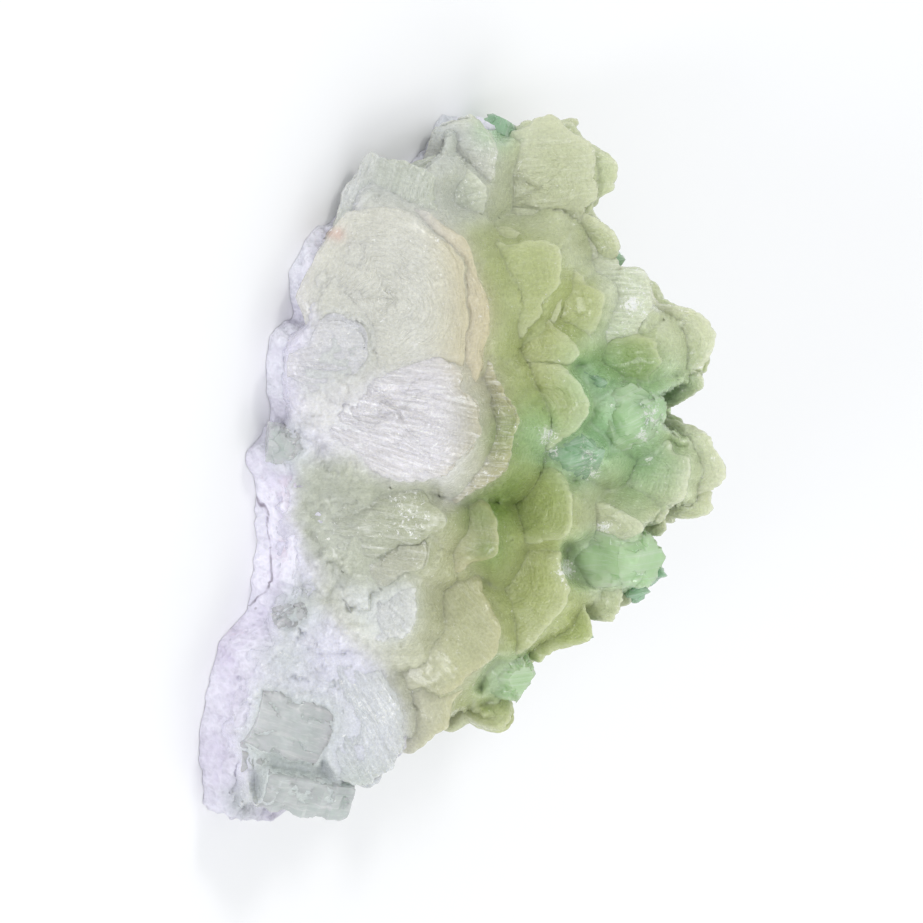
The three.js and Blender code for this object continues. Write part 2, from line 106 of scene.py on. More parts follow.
SHEAVES = {
    "small_left_leaf": ("crag", [
        leaf((-25, 15.5), 6, (-16.2, 15, 31.5), (2.4, 2.6), thickness=2.4, turn=10),
    ]),
    "striated_front_sheaf": ("streaked", [
        leaf((-23, 11), 5, (2.8, 5, 31), (8, 6.5), thickness=5, shoulder=0.8, layers=2, splay=7),
        leaf((-15, 7), 6, (7.8, 6.5, 26), (10.5, 9.5), shoulder=0.45, layers=2, splay=8),
    ]),
    "great_front_sheaf": ("cream", [
        leaf((-22, 20), 6, (1.2, 26, 28), (14, 10.5), waist=0.4, thickness=3.5, shoulder=0.42),
        leaf((-21, 20), 6, (4.9, 25, 26), (12.5, 12), waist=0.4, shoulder=0.45, layers=3),
    ]),
    "middle_left_sheaf": ("mist", [
        leaf((-24, -4.5), 3, (-2.2, -6.5, 27), (6, 6), waist=0.9, thickness=5, shoulder=0.7, layers=2),
        leaf((-22, -9), 4, (-5, -12, 26), (4, 4), waist=0.9, thickness=4, shoulder=0.75),
    ]),
    "middle_blade": ("dusk", [
        leaf((-16, -7), 5, (4.7, -10, 20), (7, 5.5), shoulder=0.55, layers=2),
    ]),
    "small_white_fan": ("serrated", [
        leaf((-17, -15), 9, (-8.2, -23, 25), (4.5, 3.2), waist=0.5, thickness=2, shoulder=0.8, turn=12),
    ]),
    "lower_left_sheaf": ("lilac", [
        leaf((-24.5, -23), 6, (-12.5, -45.8, 22), (5.5, 5.5), waist=0.8, thickness=5, shoulder=0.7, layers=2),
        leaf((-19, -24), 8, (-10.5, -43.5, 18), (4.5, 4), thickness=3, shoulder=0.7),
    ]),
    "lower_middle_sheaf": ("dusk", [
        leaf((-17, -12), 6, (1.8, -31.5, 17), (10, 8), thickness=4, layers=2),
        leaf((-19, -17), 6, (-6, -41, 15), (9, 6), shoulder=0.6),
    ]),
    "upper_left_blade": ("grey", [
        leaf((-18, 23), 5, (-10.2, 46.6, 24), (4.6, 7), waist=1.5, thickness=5, shoulder=0.85, bluntness=4),
    ]),
    "curved_upper_blade": ("grey", [
        leaf((-10, 39), 3, (1.6, 41.5, 15), (3.6, 4.5), thickness=3, shoulder=0.6, layers=2),
    ]),
    "top_left_blade": ("grey", [
        leaf((-4.5, 47), 2.5, (5.6, 45.5, 12), (5, 4.5), waist=0.8, shoulder=0.55, layers=2, turn=-8),
        leaf((-3, 47), 3, (3.2, 51.6, 9), (2.5, 3), waist=0.9, shoulder=0.75),
    ]),
    "centre_upper_sheaf": ("olive", [
        leaf((-9, 26), 6, (14.8, 28, 17), (7.5, 7), layers=2, turn=-6),
        leaf((-4, 25), 6, (21.9, 25.5, 13), (5, 6), shoulder=0.6, layers=2, turn=6),
    ]),
    "centre_lower_sheaf": ("olive", [
        leaf((-7, 9), 6, (18.2, 9.5, 19), (5.5, 5.5), shoulder=0.55, layers=2, turn=6),
        leaf((-7, 18), 6, (16.8, 18.5, 16), (5.5, 5.5), shoulder=0.55, layers=2, turn=-10),
    ]),
    "crevice_blade": ("olive", [
        leaf((-5, -4), 6, (16.8, -6, 18), (5.2, 5.2), shoulder=0.55, layers=2, turn=-8),
    ]),
    "olive_right_blade": ("olive", [
        leaf((2, 16), 8, (30.8, 15.6, 10), (4.5, 4.5), shoulder=0.7, layers=2, turn=10),
    ]),
    "bright_striated_blade": ("silver", [
        leaf((2, 26), 8, (28.2, 25, 8), (5.2, 5), waist=0.8, thickness=5, shoulder=0.88, layers=2, turn=-12),
    ]),
    "right_fan": ("spring", [
        leaf((10, 18), 6, (38, 19.5, 3), (6.5, 6), waist=0.4, thickness=3.5, shoulder=0.65, layers=2, turn=8),
        leaf((10, 15), 6, (36.4, 13, 1), (3, 3), thickness=4, shoulder=0.75),
    ]),
    "pale_upper_blade": ("spring", [
        leaf((9, 31), 6, (23, 34.2, 7), (3.4, 3.6), shoulder=0.55, turn=10),
    ]),
    "top_sheaf": ("spring", [
        leaf((0, 42), 3, (21.4, 43.6, 5), (7, 8), thickness=3.5, turn=4),
        leaf((2, 43), 4, (22.9, 43, 3), (6.5, 6), shoulder=0.55, layers=2),
        leaf((4, 45), 4, (17.8, 52.4, 1), (3, 3), waist=0.9, thickness=4, bluntness=1.3),
        leaf((0, 37), 4, (18, 33, 5), (5.5, 4.5), layers=2),
    ]),
    "lower_right_blade": ("spring", [
        leaf((0, -8), 8, (26.3, -8.8, 13), (3, 2.5), shoulder=0.75, turn=14),
    ]),
    "large_right_blade": ("spring", [
        leaf((6, -1), 8, (35, -2, 9), (5.5, 5), thickness=4, shoulder=0.68, turn=-5),
        leaf((8, 1), 8, (39.2, -0.8, 5), (7.5, 4.5), shoulder=0.62, layers=2, turn=5),
        leaf((6, -3), 8, (38.2, -5.6, 3), (2.6, 2), shoulder=0.85),
        leaf((5, -5), 8, (31.6, -8.6, 5), (2.6, 1.6), shoulder=0.9, bluntness=4),
    ]),
    "pale_lower_blade": ("spring", [
        leaf((-1, -15), 8, (25.5, -20.5, 9), (3.6, 3.2), shoulder=0.72, layers=2, turn=12),
    ]),
    "large_olive_blade": ("olive", [
        leaf((-8, -14), 6, (15.4, -17.5, 14), (9, 9.5), thickness=4, layers=2, turn=-4),
    ]),
    "lower_edge_sheaf": ("olive", [
        leaf((-4, -15), 6, (19.2, -24, 10), (5.5, 4.5), shoulder=0.6, layers=3),
    ]),
    "bottom_tip_blade": ("olive", [
        leaf((-8, -26), 6, (7.2, -38, 7), (4, 3.5), shoulder=0.75, bluntness=1.8, layers=2, turn=-10),
    ]),
    "rear_top_sheaf": ("spring", [
        leaf((8, 31), 6, (23.5, 29.5, -11), (8, 7), thickness=4.5, layers=2),
    ]),
    "rear_left_sheaf": ("olive", [
        leaf((7, 13), 6, (31, 8.8, -12), (9, 9), thickness=5, layers=2),
    ]),
    "rear_middle_sheaf": ("olive", [
        leaf((4, -5), 6, (26, -10.5, -12), (9, 8), thickness=5, layers=2),
    ]),
    "rear_right_sheaf": ("olive", [
        leaf((-4, -20), 6, (13, -25.5, -9), (8, 7), thickness=5, layers=2),
    ]),
    "right_end_sheaf": ("olive", [
        leaf((-11, -30), 6, (1.5, -36, -7), (7, 6), thickness=4.5, shoulder=0.6, layers=2),
    ]),
}

PRISMS = {
    "apophyllite_centre": ("teal", prism((4, 3), 12, (21, 2.5, 16), 8, turn=30, point=1.2, top=0.1)),
    "apophyllite_right_point": ("mint", prism((7, 6), 12, (30.2, 9.6, 12), 9, turn=20, top=0.12)),
    "apophyllite_middle_point": ("teal", prism((5, 12), 12, (22, 13, 14), 6, turn=40, point=1.2)),
    "apophyllite_top_point": ("teal", prism((2, 44), 4, (6.5, 52.6, 2), 7, turn=15, point=1.0, top=0.25)),
    "apophyllite_upper_right_point": ("teal", prism((13, 32), 10, (24.8, 31.5, 3), 7, turn=20)),
    "apophyllite_lower_right_block": ("mint", prism((5, -11), 13, (28.6, -13.4, 10), 8, turn=10, top=0.45)),
    "apophyllite_right_tip": ("teal", prism((9, -11), 13, (31, -15.8, 7), 6, turn=40, point=1.6)),
    "apophyllite_small_tip": ("teal", prism((8, -15), 12, (28.5, -18.2, 6), 3.6, turn=35, point=1.6)),
    "apophyllite_lower_sliver": ("teal", prism((3, -17), 12, (20, -25, 7), 4, turn=20, point=1.4)),
    "apophyllite_bottom_green": ("mint", prism((-5, -24), 8, (9.2, -31, 9), 7, turn=25, point=1.0, top=0.4)),
    "apophyllite_left_block": ("frost", prism((-31, -36), 8, (-20.5, -39.5, 19), 9, top=0.9, flatness=0.8)),
    "apophyllite_bottom_block": ("mint", prism((-29.5, -46.2), 10, (-16.6, -47.8, 16), 6, turn=33, top=0.8)),
    "apophyllite_small_upper": ("frost", prism((-27, -22.5), 6.5, (-22.5, -20.5, 22), 3.6, turn=20, top=0.3)),
    "apophyllite_small_lower": ("frost", prism((-32, -42), 7, (-27.5, -42.5, 21), 4, turn=25, top=0.3)),
    "apophyllite_small_left": ("frost", prism((-28.5, 4), 3, (-23, 3.5, 26), 5, turn=15, top=0.3)),
}

# how each kind of stilbite grows: width and depth of the lobes along its rim, number of the
# plates in its thickness and the steps between them, height of its ridges, how far its outline
# wanders, the spacing of its points, and the depth of the rings that follow its rim
GROWTH_VALUES = ("lobe", "lobe_depth", "plates", "plate_step", "ridge", "wander", "step", "rings")
GROWTH_BY_KIND = {
    "cream": (2.4, 0.25, 4, 0.5, 0.05, 0.6, 0.42, 0.3),
    "dusk": (2.2, 0.3, 4, 0.5, 0.06, 0.7, 0.42, 0.16),
    "streaked": (1.5, 0.4, 7, 0.9, 0.2, 0.6, 0.32, 0.34),
    "grey": (1.7, 0.35, 5, 0.7, 0.14, 0.9, 0.4, 0.14),
    "olive": (1.8, 0.32, 4, 0.5, 0.06, 0.8, 0.42, 0.09),
    "spring": (1.5, 0.42, 4, 0.6, 0.1, 0.9, 0.4, 0.22),
    "silver": (1.2, 0.3, 5, 0.5, 0.2, 0.6, 0.35, 0.1),
    "serrated": (1.5, 0.75, 4, 0.5, 0.14, 0.5, 0.36, 0.1),
    "lilac": (1.4, 0.5, 5, 0.7, 0.14, 0.9, 0.4, 0.14),
    "mist": (1.7, 0.35, 5, 0.7, 0.14, 0.9, 0.4, 0.12),
    "crag": (1.9, 1.0, 6, 1.3, 0.4, 1.5, 0.36, 0.2),
    "small": (1.3, 0.35, 3, 0.6, 0.12, 0.7, 1.7, 0.0),
}
GROWTH = {kind: dict(zip(GROWTH_VALUES, values)) for kind, values in GROWTH_BY_KIND.items()}

# colours of the crystals and the crust, as display values: to the left, in the middle and to
# the right, and where the left one ends and the middle one starts
SHADES = {
    "cream": ((210, 210, 198), (197, 190, 150), (197, 190, 150), (-6, 5)),
    # painted shade: the next row is a darker copy of the cream, for sheaves that lie in the shade of others
    "dusk": ((206, 207, 190), (184, 187, 143), (184, 187, 143), (-12, 0)),
    "streaked": ((226, 225, 223), (162, 163, 100), (162, 163, 100), (-3, 8)),
    "grey": ((205, 207, 203), (200, 204, 188), (200, 204, 188), (-20, 2)),
    "mist": ((190, 194, 178), (176, 181, 148), (176, 181, 148), (-20, -4)),
    "crag": ((206, 208, 204), (202, 206, 198), (202, 206, 198), (-20, -4)),
    "lilac": ((226, 225, 237), (212, 214, 212), (212, 214, 212), (-18, 0)),
    "olive": ((180, 188, 139), (175, 185, 121), (160, 176, 106), (-2, 12)),
    "spring": ((208, 213, 186), (196, 203, 162), (208, 216, 178), (2, 14)),
    "serrated": ((221, 224, 220), (217, 221, 210), (217, 221, 210), (-18, 0)),
    "silver": ((216, 223, 192), (216, 223, 192), (220, 228, 200), (0, 20)),
    "crust": ((226, 223, 236), (218, 218, 222), (200, 204, 186), (-24, -8)),
    "mint": ((170, 190, 150), (180, 204, 162), (208, 236, 198), (-10, 10)),
    "teal": ((176, 206, 176), (166, 198, 160), (166, 198, 160), (-10, 0)),
    "frost": ((210, 216, 212), (200, 208, 200), (200, 208, 200), (-10, 0)),
}
SHADES["small"] = SHADES["grey"]
RIGHT_START, RIGHT_END = 17.0, 33.0
# places with a colour of their own: across, up and radius
# where the green of the apophyllite shows through
MINT_PLACES = np.array([
    (21, 14, 5.5), (30, 11, 5.5), (26, 8, 4), (21, 4, 6), (11, 5.5, 4.5), (4.5, 51, 2.6), (27, 2, 6),
])
MINT_SHADE = (152, 196, 140)
MINT_STRENGTH = 0.75
# icy places, grey-green, near the crust
ICE_PLACES = np.array([
    (-21, -38, 7), (-16, -47, 6), (-24, -47, 4), (-32.5, -49.5, 3.5), (-24, -19.5, 4), (-26, -28, 4),
    (-3, 52, 4.5), (-26, 3, 3.5),
])
ICE_SHADE = (196, 203, 198)
ICE_STRENGTH = 0.75
# painted shade: places in the recesses between olive and cream leaves, darkened to a deep green where shade
# falls
PAINTED_SHADE_PLACES = np.array([
    (4.5, -6, 3.8), (4.5, -12, 2.6), (7.5, -2, 2.2), (7, 4, 3), (26.5, 15.7, 2.8),
])
PAINTED_SHADE_KINDS = ("olive", "dusk")
PAINTED_SHADE_COLOUR = (112, 143, 56)
PAINTED_SHADE_STRENGTH = 0.7
# a pinkish brown chip
CHIP_PLACES = np.array([(-19.0, 34.9, 0.8), (-17.9, 34.7, 0.9)])
CHIP_SHADE = (206, 180, 168)


def linear_light(shown):
    """Display values from 0 to 255 as linear light."""
    shown = np.asarray(shown, dtype=float) / 255
    return np.where(shown <= 0.04045, shown / 12.92, ((shown + 0.055) / 1.055) ** 2.4)


def places_share(places, across, up):
    """How much a point of the drawing belongs to some round places: the largest of
    exp(-(distance / radius)^2)."""
    away = np.hypot(across[..., None] - places[:, 0], up[..., None] - places[:, 1]) / places[:, 2]
    return np.exp(-(away**2)).max(axis=-1)


def tinted(body, shade, share):
    """Linear colours blended towards a display colour, by a share for each point."""
    return mix(body, linear_light(shade), share[..., None])


def shade_at(kind, across, up):
    """Colour of a kind of crystal at a point of the drawing, as linear light: its left, middle
    and right colours blended by across, then mint and icy places and the chip blended in, and
    painted shade, a deep green in the recesses, for the kinds that have it."""
    left, middle, right, (left_end, middle_start) = SHADES[kind]
    body = tinted(linear_light(left), middle, np.clip((across - left_end) / (middle_start - left_end), 0, 1))
    body = tinted(body, right, np.clip((across - RIGHT_START) / (RIGHT_END - RIGHT_START), 0, 1))
    body = tinted(body, MINT_SHADE, MINT_STRENGTH * places_share(MINT_PLACES, across, up))
    body = tinted(body, ICE_SHADE, ICE_STRENGTH * places_share(ICE_PLACES, across, up))
    body = tinted(body, CHIP_SHADE, places_share(CHIP_PLACES, across, up))
    # painted shade: the recesses darkened to a deep green
    if kind in PAINTED_SHADE_KINDS:
        body = tinted(body, PAINTED_SHADE_COLOUR, PAINTED_SHADE_STRENGTH * places_share(PAINTED_SHADE_PLACES, across, up))
    return body


# ---------------------------------------------------------------- noise
# each use of noise has a seed of its own; a number added to a seed only keeps two draws apart

HASH_ACROSS = np.array([73856093, 19349663, 83492791], dtype=np.int64)
HASH_SEED = 2654435761
HASH_MIXES = ((15, 2246822519), (13, 3266489917))  # by how many bits it is shifted, and a factor
HASH_BITS = 0xFFFFFFFF
CELL_CORNERS = np.array([[x, y, z] for x in (0, 1) for y in (0, 1) for z in (0, 1)])
FAR_AWAY = 1e9  # further than any point


def corner_number(corner, seed):
    """A fixed number from -1 to 1 for a lattice corner: its three numbers and the seed are
    multiplied by large odd numbers, combined bit by bit, and mixed twice."""
    spread = corner * HASH_ACROSS
    key = (spread[..., 0] ^ spread[..., 1] ^ spread[..., 2] ^ (seed * HASH_SEED)) & HASH_BITS
    for shift, factor in HASH_MIXES:
        key = ((key ^ (key >> shift)) * factor) & HASH_BITS
    return (key ^ (key >> 16)) / (HASH_BITS / 2) - 1


def noise(points, cell, seed):
    """Value noise: the numbers at the eight corners of a point's cell, blended by 3t^2 - 2t^3
    along each axis."""
    scaled = np.asarray(points, dtype=float) / cell
    low = np.floor(scaled)
    share = scaled - low
    share = share * share * (3 - 2 * share)
    low = low.astype(np.int64)
    total = np.zeros(scaled.shape[:-1])
    for corner in CELL_CORNERS:
        weight = np.prod(np.where(corner, share, 1 - share), axis=-1)
        total += weight * corner_number(low + corner, seed)
    return total


def rough_noise(points, cell, seed, octaves=3):
    """Sum of noises, each with half the cell and half the height of the one before."""
    total = np.zeros(np.asarray(points).shape[:-1])
    for octave in range(octaves):
        total += noise(points, cell / 2**octave, seed + 101 * octave) / 2**octave
    return total


def relief(points, cell, height, seed, octaves=1):
    """Noise of a given cell and height, rough where it has more octaves."""
    return height * rough_noise(points, cell, seed, octaves)


def line_noise(distance, cell, seed):
    """Noise along a line: the noise of points at that distance along the first axis."""
    spread = np.zeros(np.shape(distance) + (3,))
    spread[..., 0] = distance
    return noise(spread, cell, seed)


FACET_SCATTER = 0.42  # how far a centre is moved from the middle of its cell, in cells
FACET_STEP = 0.45


def facets(plan, cell, height, seed):
    """Broken, faceted relief over a plane. Each cell of a square lattice has a centre moved by
    chance; a point belongs to the nearest centre, and its height is that centre's own number
    plus the slope of that centre's own plane."""
    low = np.floor(plan / cell).astype(np.int64)
    nearest = np.full(plan.shape[:-1], FAR_AWAY)
    result = np.zeros(plan.shape[:-1])
    for step in ((x, y) for x in (-1, 0, 1) for y in (-1, 0, 1)):
        corner = np.concatenate([low + np.array(step), np.zeros(low.shape[:-1] + (1,), np.int64)], -1)
        numbers = [corner_number(corner, seed + k) for k in range(5)]
        centre = (corner[..., :2] + 0.5 + FACET_SCATTER * np.stack(numbers[:2], -1)) * cell
        offset = plan - centre
        away = np.linalg.norm(offset, axis=-1)
        slope = (numbers[3] * offset[..., 0] + numbers[4] * offset[..., 1]) / cell
        plane = numbers[2] * FACET_STEP + slope
        result = np.where(away < nearest, plane, result)
        nearest = np.minimum(away, nearest)
    return height * result


def smooth(value, low, high):
    """0 below low, 1 above high, and 3t^2 - 2t^3 between them."""
    t = np.clip((value - low) / (high - low), 0, 1)
    return t * t * (3 - 2 * t)


def mix(first, second, share):
    """Straight blend from first to second."""
    return first + (second - first) * share


# ---------------------------------------------------------------- meshes

ARRAY_KINDS = {1: ("FLOAT", "value"), 3: ("FLOAT_VECTOR", "vector")}


def ring_values(grid):
    """Values of a grid of rings as one list: the first and last ring count once each."""
    flat = grid[1:-1].reshape((-1,) + grid.shape[2:])
    return np.concatenate([grid[:1, 0], flat, grid[-1:, 0]])


def closed_mesh(name, rings, marks):
    """Closed mesh through rings of points that run round it anticlockwise, seen from the last.
    The first and last ring are one point each. marks holds a value for each point by name."""
    count, around = rings.shape[:2]
    column = np.arange(around)
    after = (column + 1) % around
    base = 1 + around * np.arange(count - 3)[:, None]
    quads = np.stack([base + column, base + after, base + after + around, base + column + around], -1)
    last = 1 + around * (count - 2)
    first_fan = np.stack([np.zeros_like(column), 1 + after, 1 + column], -1)
    last_fan = np.stack([last - around + column, last - around + after, np.full_like(column, last)], -1)
    corners = np.concatenate([first_fan.ravel(), quads.ravel(), last_fan.ravel()])
    sizes = np.concatenate([np.full(around, 3), np.full(quads.size // 4, 4), np.full(around, 3)])
    values = {mark: ring_values(grid) for mark, grid in marks.items()}
    return filled_mesh(name, ring_values(rings), corners, sizes, values)


def filled_mesh(name, points, corners, sizes, marks):
    """Mesh with these points, and faces of the given sizes that use up the corners in turn."""
    mesh = bpy.data.meshes.new(name)
    mesh.vertices.add(len(points))
    mesh.vertices.foreach_set("co", (points * MM).astype(np.float32).ravel())
    mesh.loops.add(len(corners))
    mesh.loops.foreach_set("vertex_index", corners.astype(np.int32))
    mesh.polygons.add(len(sizes))
    mesh.polygons.foreach_set("loop_start", (np.cumsum(sizes) - sizes).astype(np.int32))
    mesh.update(calc_edges=True)
    for mark, values in marks.items():
        kind, field = ARRAY_KINDS[1 if values.ndim == 1 else 3]
        layer = mesh.attributes.new(mark, kind, "POINT")
        layer.data.foreach_set(field, values.astype(np.float32).ravel())
    mesh.validate()
    return mesh


def grown_together(name, meshes):
    """One mesh for crystals that grow through one another: their union."""
    if len(meshes) == 1:
        return meshes[0]
    others = bpy.data.collections.new(name + "_others")
    holders = [bpy.data.objects.new(name + "_crystal", mesh) for mesh in meshes]
    bpy.context.scene.collection.objects.link(holders[0])
    for holder in holders[1:]:
        others.objects.link(holder)
    bpy.context.scene.collection.children.link(others)
    union = holders[0].modifiers.new("grown_together", "BOOLEAN")
    union.operation = "UNION"
    union.operand_type = "COLLECTION"
    union.collection = others
    union.solver = "MANIFOLD"
    evaluated = holders[0].evaluated_get(bpy.context.evaluated_depsgraph_get())
    joined = bpy.data.meshes.new_from_object(evaluated)
    for holder in holders:
        bpy.data.objects.remove(holder)
    bpy.data.collections.remove(others)
    shade_seams(joined)
    return joined


BARE_SHADE = 0.05  # the sum of a colour's three values below which it is no colour yet


def shade_seams(mesh):
    """Gives the new points along the seams of a union, which carry no shade, their
    surroundings'."""
    points = np.zeros(len(mesh.vertices) * 3, np.float32)
    mesh.vertices.foreach_get("co", points)
    values = np.zeros(len(points), np.float32)
    layer = mesh.attributes["shade"]
    layer.data.foreach_get("vector", values)
    values = values.reshape(-1, 3)
    bare = values.sum(axis=1) < BARE_SHADE
    values[bare] = looked_up(shade, *on_drawing(points.reshape(-1, 3)[bare] / MM))
    layer.data.foreach_set("vector", values.ravel())


def add_piece(name, mesh, material, slot, crease, *replaced):
    """Puts a finished mesh in the scene, smooth except across edges sharper than crease."""
    mesh.shade_smooth()
    mesh.set_sharp_from_angle(angle=np.radians(crease))
    mesh.materials.clear()
    mesh.materials.append(material)
    piece = bpy.data.objects.new(name, mesh)
    bpy.context.scene.collection.objects.link(piece)
    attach(piece, "root")
    if replaced:
        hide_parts(*replaced)


# ---------------------------------------------------------------- stilbite leaves


def crystal_axes(crystal):
    """Root, growth, side and face of a crystal and its length. Growth runs from root to tip,
    side is growth crossed with the line of sight and turned about growth, face is side
    crossed with growth."""
    root = place_at_height(*crystal["root"], crystal["foot"])
    growth = place(*crystal["tip"]) - root
    length = np.linalg.norm(growth)
    growth = growth / length
    side = np.cross(growth, EYE)
    side /= np.linalg.norm(side)
    turn = np.radians(crystal["turn"])
    side = side * np.cos(turn) + np.cross(growth, side) * np.sin(turn)
    return root, growth, side, np.cross(side, growth), length


def layer_axes(axes, shape, layer):
    """Axes of the leaf that lies a number of layers behind the front one: it leans back by
    splay for each layer, and its length keeps its reach on the drawing, less LAYER_SHRINK."""
    root, growth, side, face, length = axes
    lean = np.radians(shape["splay"] * layer)
    rise = np.arcsin(growth @ EYE)
    leaned = growth * np.cos(lean) - face * np.sin(lean)
    root = root - face * LAYER_STEP * shape["thickness"] * layer
    length = length * np.cos(rise) / np.cos(rise - lean) * (1 - LAYER_SHRINK * layer)
    return root, leaned, side, np.cross(side, leaned), length


COARSE_STEP = 1  # a leaf with longer steps than this is a small one, with few points
AROUND_FEWEST, AROUND_FEWEST_SMALL, AROUND_MOST = 40, 12, 260
PROFILE_FEWEST, PROFILE_FEWEST_SMALL, PROFILE_MOST = 16, 7, 64
ROOT_POINTS, SIDE_POINTS, END_POINTS = 6, 20, 120  # of half an outline, before it is divided
ROOT_SHARE = 0.4  # how much of a leaf's length counts as near the root
ROOT_PACE = 0.45  # how many of its points its outline has there
PROFILE_POINTS = 1441  # of the profile, before it is divided
PROFILE_STEP = 0.75  # its steps, next to those of the outline
FACE_FROM, FACE_AT = 0.1, 0.55  # how far in from the rim the faces start, and are full
FACE_STRETCH = 1.9  # how much longer the steps over the faces are than those at the rim
BACK_START = -0.25  # the angle on the profile where the back starts, in radians
BACK_STRETCH = 3.0  # how much longer the steps are there


def leaf_outline(shape, length, narrower, step):
    """Outline of a leaf seen face on, anticlockwise from the middle of its root: a straight
    root, straight sides that widen from the waist to the shoulder, and an end where the width
    is (1 - share^b)^(1/b). It is divided evenly, with longer steps near the root."""
    left, right = (half * narrower for half in shape["halves"])
    turn = np.linspace(0, np.pi / 2, END_POINTS)
    share = np.sin(turn) ** (2 / shape["bluntness"])
    width = np.cos(turn) ** (2 / shape["bluntness"])
    along = length * mix(shape["shoulder"], 1, share)
    sides = np.linspace(shape["waist"], 1, SIDE_POINTS)
    climb = np.linspace(0, length * shape["shoulder"], SIDE_POINTS)
    half_x = np.concatenate([np.linspace(0, shape["waist"], ROOT_POINTS), sides[1:], width[1:]])
    half_y = np.concatenate([np.zeros(ROOT_POINTS), climb[1:], along[1:]])
    x = np.concatenate([right * half_x, -left * half_x[-2::-1]])
    y = np.concatenate([half_y, half_y[-2::-1]])
    from_root = smooth((y[1:] + y[:-1]) / 2, 0, length * ROOT_SHARE)
    passed = passed_along(np.hypot(np.diff(x), np.diff(y)) * mix(ROOT_PACE, 1, from_root))
    fewest = AROUND_FEWEST_SMALL if step > COARSE_STEP else AROUND_FEWEST
    count = int(np.clip(round(passed[-1] / step), fewest, AROUND_MOST))
    at = np.arange(count) / count * passed[-1]
    return np.stack([np.interp(at, passed, x), np.interp(at, passed, y)], -1), at


def passed_along(steps):
    """Distance along a line at each of its points, from the lengths of the steps between."""
    return np.concatenate([[0], np.cumsum(steps)])


def pillow_profile(reach, half_thickness, power, step):
    """Radius and height shares from the back pole over the rim to the front pole, on the curve
    radius^power + height^power = 1. Steps are short near the rim and long at the back."""
    angle = np.linspace(-np.pi / 2, np.pi / 2, PROFILE_POINTS)
    radius = np.cos(angle).clip(0) ** (2 / power)
    height = np.sign(angle) * np.abs(np.sin(angle)) ** (2 / power)
    middle = (radius[1:] + radius[:-1]) / 2
    stretch = mix(1, FACE_STRETCH, smooth(1 - middle, FACE_FROM, FACE_AT))
    stretch = stretch * np.where(angle[1:] < BACK_START, BACK_STRETCH, 1)
    passed = passed_along(np.hypot(np.diff(radius) * reach, np.diff(height) * half_thickness) / stretch)
    fewest = PROFILE_FEWEST_SMALL if step > COARSE_STEP else PROFILE_FEWEST
    count = int(np.clip(round(passed[-1] / step), fewest, PROFILE_MOST))
    at = np.linspace(0, passed[-1], count + 1)
    return np.interp(at, passed, radius), np.interp(at, passed, height)


LOBE_SHIFT, LOBE_SHIFT_CELL = 0.7, 2.7  # how far lobes are moved along the rim by chance, in lobes
LOBE_SIZE, LOBE_VARIETY = 0.7, 0.3  # how high they are, and how much that varies
LOBE_APART = 7.31  # how far apart the draws of two lobes lie
LOBE_POWER = 0.55
LOBE_MIDDLE = 0.6  # the height of a lobe where the rim is neither out nor in


def rim_lobes(path, width, seed):
    """Rounded lobes with sharp notches between them, 0 in a notch and up to 1 on a lobe:
    |sin(pi x)|^LOBE_POWER, where x is the distance along the rim in lobes, varied by noise."""
    place_on_rim = path / width + LOBE_SHIFT * line_noise(path, width * LOBE_SHIFT_CELL, seed)
    lobe = np.floor(place_on_rim)
    size = LOBE_SIZE + LOBE_VARIETY * line_noise(lobe * LOBE_APART, 1.0, seed + 5)
    return np.abs(np.sin(np.pi * place_on_rim)) ** LOBE_POWER * size


PLATE_SHIFT = 0.4  # how far one plate's lobes are moved along from the next one's, in lobes
PLATE_DRIFT, PLATE_DRIFT_CELL = 0.5, 3.1  # how far its rim drifts in and out, in its steps
PLATE_SHRINK = 0.12  # and how far it stays behind that of the middle plate


def plate_rims(kind, path, seed):
    """How far the rim of each of a leaf's plates is moved out: its lobes, a slow drift, and
    less for a plate near the front or the back."""
    depth, step, plates = kind["lobe_depth"], kind["plate_step"], kind["plates"]
    return np.stack([
        depth * (rim_lobes(path + k * PLATE_SHIFT * kind["lobe"], kind["lobe"], seed + 11 * k) - LOBE_MIDDLE)
        + step * PLATE_DRIFT * line_noise(path, PLATE_DRIFT_CELL, seed + 17 * k + 3)
        - step * PLATE_SHRINK * abs(k - plates * 0.5)
        for k in range(plates)
    ])


CHIPS = 3  # straight breaks along the end of a leaf
CHIP_TURN = 1.5  # how far to either side of the tip they can lie, in radians
CHIP_KEPT, CHIP_SPREAD = 0.965, 0.03  # the share of the reach that a break leaves
LEAST_OUTWARD = 1e-6
RIM_GROWTH = 0.35  # how far a leaf grows past its outline
INNER_GROWTH = 1.6  # how much further it grows into its neighbours inside the cluster
INNER_WANDER = 1.3  # how much more its outline wanders there
WANDER_CELLS, WANDER_FINE = (6.3, 2.9), 0.5  # the finer wander is only this high
LEAF_MIDDLE = 0.55  # how far up its length the middle of a leaf lies
FREE_FROM, FREE_AT = 0.25, 0.5  # the shares of its length where its rim starts to be free, and is
BESIDE_FROM, BESIDE_AT = 0.6, 0.95  # and where it starts to lose its neighbours, and has none
RIM_POWER, FLUTE_POWER = 5, 3  # the higher, the closer to the rim its lobes and flutes stay
# relief of the faces: the cell and the height of a noise
RIDGE_CELLS, FINE_RIDGES = (1.1, 0.55), 0.6  # the finer ridges are only this high
RIDGE_STRETCH = 0.22  # how much slower ridges change along the growth than across it
FLUTE_HEIGHT = 0.22
SWELL, RIPPLE, BREAK = (5.5, 0.55), (1.7, 0.16), (3.1, 0.22)
RING_SPACING, RING_WANDER = 0.8, (1.4, 0.5)
RING_DRIFT = 0.14  # how much slower rings change along the rim than away from it
RING_REACH = 2.6  # how far from the rim they fade
BOW = 0.03  # how much the sides of a leaf bend back
TAPER_POWER = 3  # the higher, the nearer to its tip a leaf gets thin


